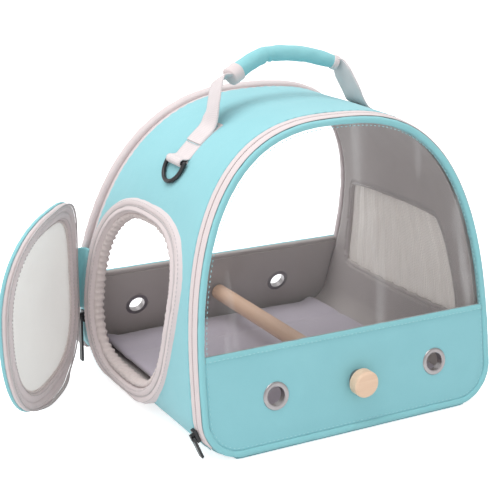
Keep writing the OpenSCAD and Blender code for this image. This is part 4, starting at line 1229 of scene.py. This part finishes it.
floor_pad()


# ---- handle ----

GRIP_LINE = [(-58.5, 22.4), (-50, 27.4), (-40, 32.6), (-30, 37.2), (-20, 40.3), (-10, 41.1), (0, 40.9),
             (12, 39.6), (24, 37.4), (36, 34.2), (46, 30.8), (53, 27.6)]


def grip_tube(name, radius, t0, t1, mat, nodes, wrinkle, n=120, sides=36, crease=True):
    """A padded tube along the grip's line from t0 to t1, creased where the hand has bent it."""
    line = smooth_line(GRIP_LINE, 3)
    along = distances(line)
    along /= along[-1]
    p = np.zeros((n, sides, 3))
    for i, t in enumerate(np.linspace(t0, t1, n)):
        cx, cy = (np.interp(t, along, line[:, k]) for k in (0, 1))
        ahead, behind = (np.array([np.interp(t + e, along, line[:, k]) for k in (0, 1)])
                         for e in (0.01, -0.01))
        tx, ty = (ahead - behind) / np.linalg.norm(ahead - behind)
        end = min(1.0, 12 * (i + 0.3) / n, 12 * (n - 0.7 - i) / n)
        fold = sum(depth * math.exp(-((cx - at) / width) ** 2)
                   for at, width, depth in ((-19, 2.6, 1.0), (-12, 2.2, 0.7),
                                            (22, 3.0, 0.35))) if crease else 0.0
        slim = 1 - (0.13 * t if crease else 0.0)
        for k in range(sides):
            b = TAU * k / sides
            lump = 1 + wrinkle * wave((cx, 9 * math.cos(b), 9 * math.sin(b)), 0.11, 3.0)
            r = radius * slim * lump * (1 - 0.2 * fold * (0.5 - 0.5 * math.cos(b))) * (0.84 + 0.16 * end)
            out, side = r * math.cos(b), r * math.sin(b) * (1.0 + 0.06 * fold)
            p[i, k] = (cx - out * ty, cy + out * tx, side)
    world = handle_at(p[..., 0], p[..., 1], p[..., 2])
    piece = grid_piece(name, world, mat, "handle", nodes, closed_v=True)
    cap_ends(piece)
    return piece


GRIP = grip_tube("padded_grip", GRIP_R + 0.6, 0.02, 0.985, "rim", ["handle_sleeve", "handle_core"],
                 0.08)
grip_tube("collar_left", GRIP_R + 1.5, 0.0, 0.1, "tape", ["handle_collars"], 0.07, 24, 36, False)
grip_tube("collar_right", GRIP_R - 0.1, 0.955, 1.0, "tape", [], 0.05, 18, 36, False)


def ribbon(name, centres, widths, half, thick, mat, body, nodes=(), n_w=11):
    """A flat strap: a centre line in millimetres, its width direction at each point, and its thickness."""
    centres, widths = np.asarray(centres, float), np.asarray(widths, float)
    widths /= np.linalg.norm(widths, axis=1, keepdims=True)
    tangent = np.gradient(centres, axis=0)
    tangent /= np.linalg.norm(tangent, axis=1, keepdims=True)
    nrm = np.cross(tangent, widths)
    nrm /= np.linalg.norm(nrm, axis=1, keepdims=True)
    half = np.broadcast_to(half, (len(centres),))
    section = []
    for k in range(n_w):
        s = -1 + 2 * k / (n_w - 1)
        section.append((s, 0.5 * thick * (1 - 0.35 * abs(s) ** 6)))
    ring = [(s, h) for s, h in section] + [(s, -h) for s, h in reversed(section)]
    p = np.zeros((len(centres), len(ring), 3))
    for j, (s, h) in enumerate(ring):
        p[:, j] = centres + widths * (half * s)[:, None] + nrm * h
    piece = grid_piece(name, p, mat, body, nodes, closed_v=True)
    cap_ends(piece)
    return piece


def handle_straps():
    """Each strap rises from its sewn foot on the roof, folds over at its top and runs into the grip's end."""
    wide = handle_at(0, 0, 1) - handle_at(0, 0, 0)
    rises = {-1: [(-79, 0), (-75.5, 10), (-71.5, 19), (-69, 22.6), (-65, 23.4), (-57.5, 23.6)],
             1: [(63.5, 0), (60.5, 10), (57.5, 19), (56, 25), (54.5, 29), (51.5, 30)]}
    feet = {-1: (98, 92, 86, 82.5), 1: (88, 80, 72.5, 67)}
    foot_lifts = (2.6, 2.8, 3.2, 6.0)
    turn_z, turn_span = 262, 10  # where the strap's width turns from the roof's line to the handle's
    grip_half, strap_half, strap_t, taper_run = 6.5, 12.8, 1.9, 14
    for side, tag in ((-1, "left"), (1, "right")):
        knots = [(side * x, HANDLE_Y, arch_z(x, WALL_T) + lift)
                 for x, lift in zip(feet[side], foot_lifts)]
        knots += [tuple(handle_at(x, h, 0.0)) for x, h in rises[side]]
        line = smooth_line(knots)
        length = distances(line)
        rise = np.clip((line[:, 2] - turn_z) / turn_span, 0, 1)
        widths = np.stack([np.array((0, -1, 0)) * (1 - r) + wide * r for r in rise])
        taper = np.clip((length[-1] - length) / taper_run, 0, 1)
        half = grip_half + (strap_half - grip_half) * taper ** 0.6
        piece = ribbon(f"handle_strap_{tag}", line, widths, half, strap_t, "webbing", None,
                       ["handle_webbing"] if side < 0 else [])
        head = Vector(handle_at(*rises[side][1], 0.0)) * MM
        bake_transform(piece)


handle_straps()


def shoulder_tabs():
    """Webbing sewn down the shoulder, folded round the D-ring's bar and back under itself."""
    root, end, tab_half, tab_t, wrap_r = 76, 110.5, 12.9, 1.5, 3.3
    seam_from, seam_to, seam_half, per_side = 80, 99, 10.5, 12
    for side, tag in ((-1, "left"), (1, "right")):
        xs = np.linspace(root, end, 16)
        over = [(x, arch_z(x, WALL_T) + 1.6 + 0.4 * math.sin(0.3 * x)) for x in xs]
        bx, bz = BAR
        turn = [(bx + wrap_r * math.cos(a), bz + wrap_r * math.sin(a))
                for a in np.linspace(math.radians(120), math.radians(-130), 14)]
        back = [(x, arch_z(x, WALL_T) + 0.7) for x in (109.5, 105, 99, 92)]
        line = [(side * x, HANDLE_Y, z) for x, z in over[:-1] + turn + back]
        line = smooth_line(line, 1)
        widths = np.tile(np.array((0.0, 1.0, 0.0)), (len(line), 1))
        ribbon(f"shoulder_tab_{tag}", line, widths, tab_half, tab_t, "webbing", "shell",
               [f"shoulder_tab_{tag}"])
        corners = [(seam_from, -seam_half), (seam_from, seam_half), (seam_to, seam_half),
                   (seam_to, -seam_half), (seam_from, -seam_half), (seam_to, seam_half)]
        path = []
        for (x0, w0), (x1, w1) in zip(corners, corners[1:]):
            for k in range(per_side):
                x, w = x0 + (x1 - x0) * k / per_side, w0 + (w1 - w0) * k / per_side
                path.append((side * x, HANDLE_Y + w, arch_z(x, WALL_T) + 2.6))
        normals = [(p[0] * 0.006, 0, 1) for p in path]
        capsule_chain(f"tab_stitches_{tag}", path, normals, "thread", "shell", 2.2, 3.0, 0.3, 0.25)


shoulder_tabs()


# ---- CAD nodes that stay ----

STAY = {
    "base_board": "board", "front_hoop": "steel", "rear_hoop": "steel",
    "front_panel_board": "board", "rear_panel_board": "board", "perch": "wood", "perch_knob": "knob",
    "front_eyelets": "metal", "rear_eyelets": "metal", "perch_screw": "metal", "perch_seats": "metal",
    "front_zip_slider": "black", "rear_zip_slider": "black", "door_zip_slider": "black",
    "front_zip_pull": "black", "rear_zip_pull": "black", "door_zip_pull": "black",
    "d_ring_left": "black", "d_ring_right": "black",
}
for node, mat in STAY.items():
    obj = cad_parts[node]
    obj.data.materials.clear()
    obj.data.materials.append(MATS[mat])


# ---- cloth and padding ----

# Each sheet: its piece, its cut's width, length and area in millimetres, how it is held, and on what.
SHEETS = [
    (COVER, 263, COVER_ARC, 91200, "stretched", ["base_cloth"], []),
    (LINING, 272, LINING_ARC, 103000, "stretched", ["floor_lining"], []),
    (BASE, 292, 275, 79900, "stretched", ["base_board"], []),
    (FLOOR_LINING, 224, 274, 61300, "laid", ["base_board"], []),
    (FRONT_FILM, 283, 179, 42100, "stretched", ["front_piping"], []),
    (REAR_FILM, 283, 187, 44000, "stretched", ["rear_flange"], []),
    (FRONT_FOOT, 285, 80, 21900, "stretched", ["front_panel_board"], FRONT_HEM),
    (REAR_FOOT, 285, 84, 23000, "stretched", ["rear_panel_board"], REAR_HEM),
    (FRONT_INNER, 285, 80, 21900, "stretched", ["front_panel_board"], []),
    (REAR_INNER, 285, 84, 23000, "stretched", ["rear_panel_board"], []),
    (door_net, 164, 152, 20700, "stretched", ["door_border"], []),
    (window_net, 190, 101, 18400, "gathered", ["window_binding"], []),
    (HINGE, 18, 62, 1110, "folded", ["doorway_padding"], []),
]
for piece, width, length, area, held, rests_on, extras in SHEETS:
    list(extras)
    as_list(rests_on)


# ---- floor, light and camera ----

def stage_plane(name, size, location, rotation, mat):
    mesh = bpy.data.meshes.new(name)
    h = size / 2
    mesh.from_pydata([(-h, -h, 0), (h, -h, 0), (h, h, 0), (-h, h, 0)], [], [(0, 1, 2, 3)])
    obj = bpy.data.objects.new(name, mesh)
    bpy.context.scene.collection.objects.link(obj)
    obj.location = location
    obj.rotation_euler = rotation
    obj.data.materials.append(mat)


stage_plane("floor", 14, (0, 0, -0.0002), (0, 0, 0), plain_stage("floor_pale", (0.86, 0.86, 0.87, 1), 0.72))

world = bpy.data.worlds.new("studio")
bpy.context.scene.world = world
world.use_nodes = True
tree = world.node_tree
background = tree.nodes["Background"]
path = tree.nodes.new("ShaderNodeLightPath")
seen = tree.nodes.new("ShaderNodeMath")
seen.operation = "MAXIMUM"
tree.links.new(path.outputs["Is Camera Ray"], seen.inputs[0])
tree.links.new(path.outputs["Is Glossy Ray"], seen.inputs[1])
level = tree.nodes.new("ShaderNodeMapRange")
level.inputs["To Min"].default_value = 0.82
level.inputs["To Max"].default_value = 1.0
tree.links.new(seen.outputs[0], level.inputs["Value"])
tree.links.new(level.outputs[0], background.inputs["Strength"])
background.inputs["Color"].default_value = (1, 1, 1, 1)


def lamp(name, location, target, size, power):
    data = bpy.data.lights.new(name, "AREA")
    data.shape = "SQUARE"
    data.size = size
    data.energy = power
    obj = bpy.data.objects.new(name, data)
    bpy.context.scene.collection.objects.link(obj)
    obj.location = location
    direction = Vector(target) - Vector(location)
    obj.rotation_euler = direction.to_track_quat("-Z", "Y").to_euler()


LIT_POINT = (0, 0, 0.1)
KEY_POWER, FILL_POWER = 22, 3
lamp("key", (-0.6, 0.1, 1.9), LIT_POINT, 1.3, KEY_POWER)
lamp("fill", (-1.3, -1.3, 0.8), LIT_POINT, 1.0, FILL_POWER)

camera = bpy.data.cameras.new("camera")
camera_object = bpy.data.objects.new("camera", camera)
bpy.context.scene.collection.objects.link(camera_object)
CAMERA_AT, CAMERA_LENS = (-0.5738, -0.97475, 0.47792), 90.8
CAMERA_ANGLES = (-29.3222, 17.3435, 0.6582)  # azimuth, elevation and roll, in degrees
azimuth, elevation, roll = (math.radians(a) for a in CAMERA_ANGLES)
back = Vector((math.sin(azimuth) * math.cos(elevation), -math.cos(azimuth) * math.cos(elevation),
               math.sin(elevation)))
right = Vector((math.cos(azimuth), math.sin(azimuth), 0))
up = back.cross(right)
axis_x = right * math.cos(roll) + up * math.sin(roll)
axis_y = up * math.cos(roll) - right * math.sin(roll)
turn = Matrix((axis_x, axis_y, back)).transposed().to_4x4()
camera_object.matrix_world = Matrix.Translation(CAMERA_AT) @ turn
camera.lens = CAMERA_LENS
camera.sensor_width = 36
bpy.context.scene.camera = camera_object
bpy.context.scene.view_settings.view_transform = "Standard"
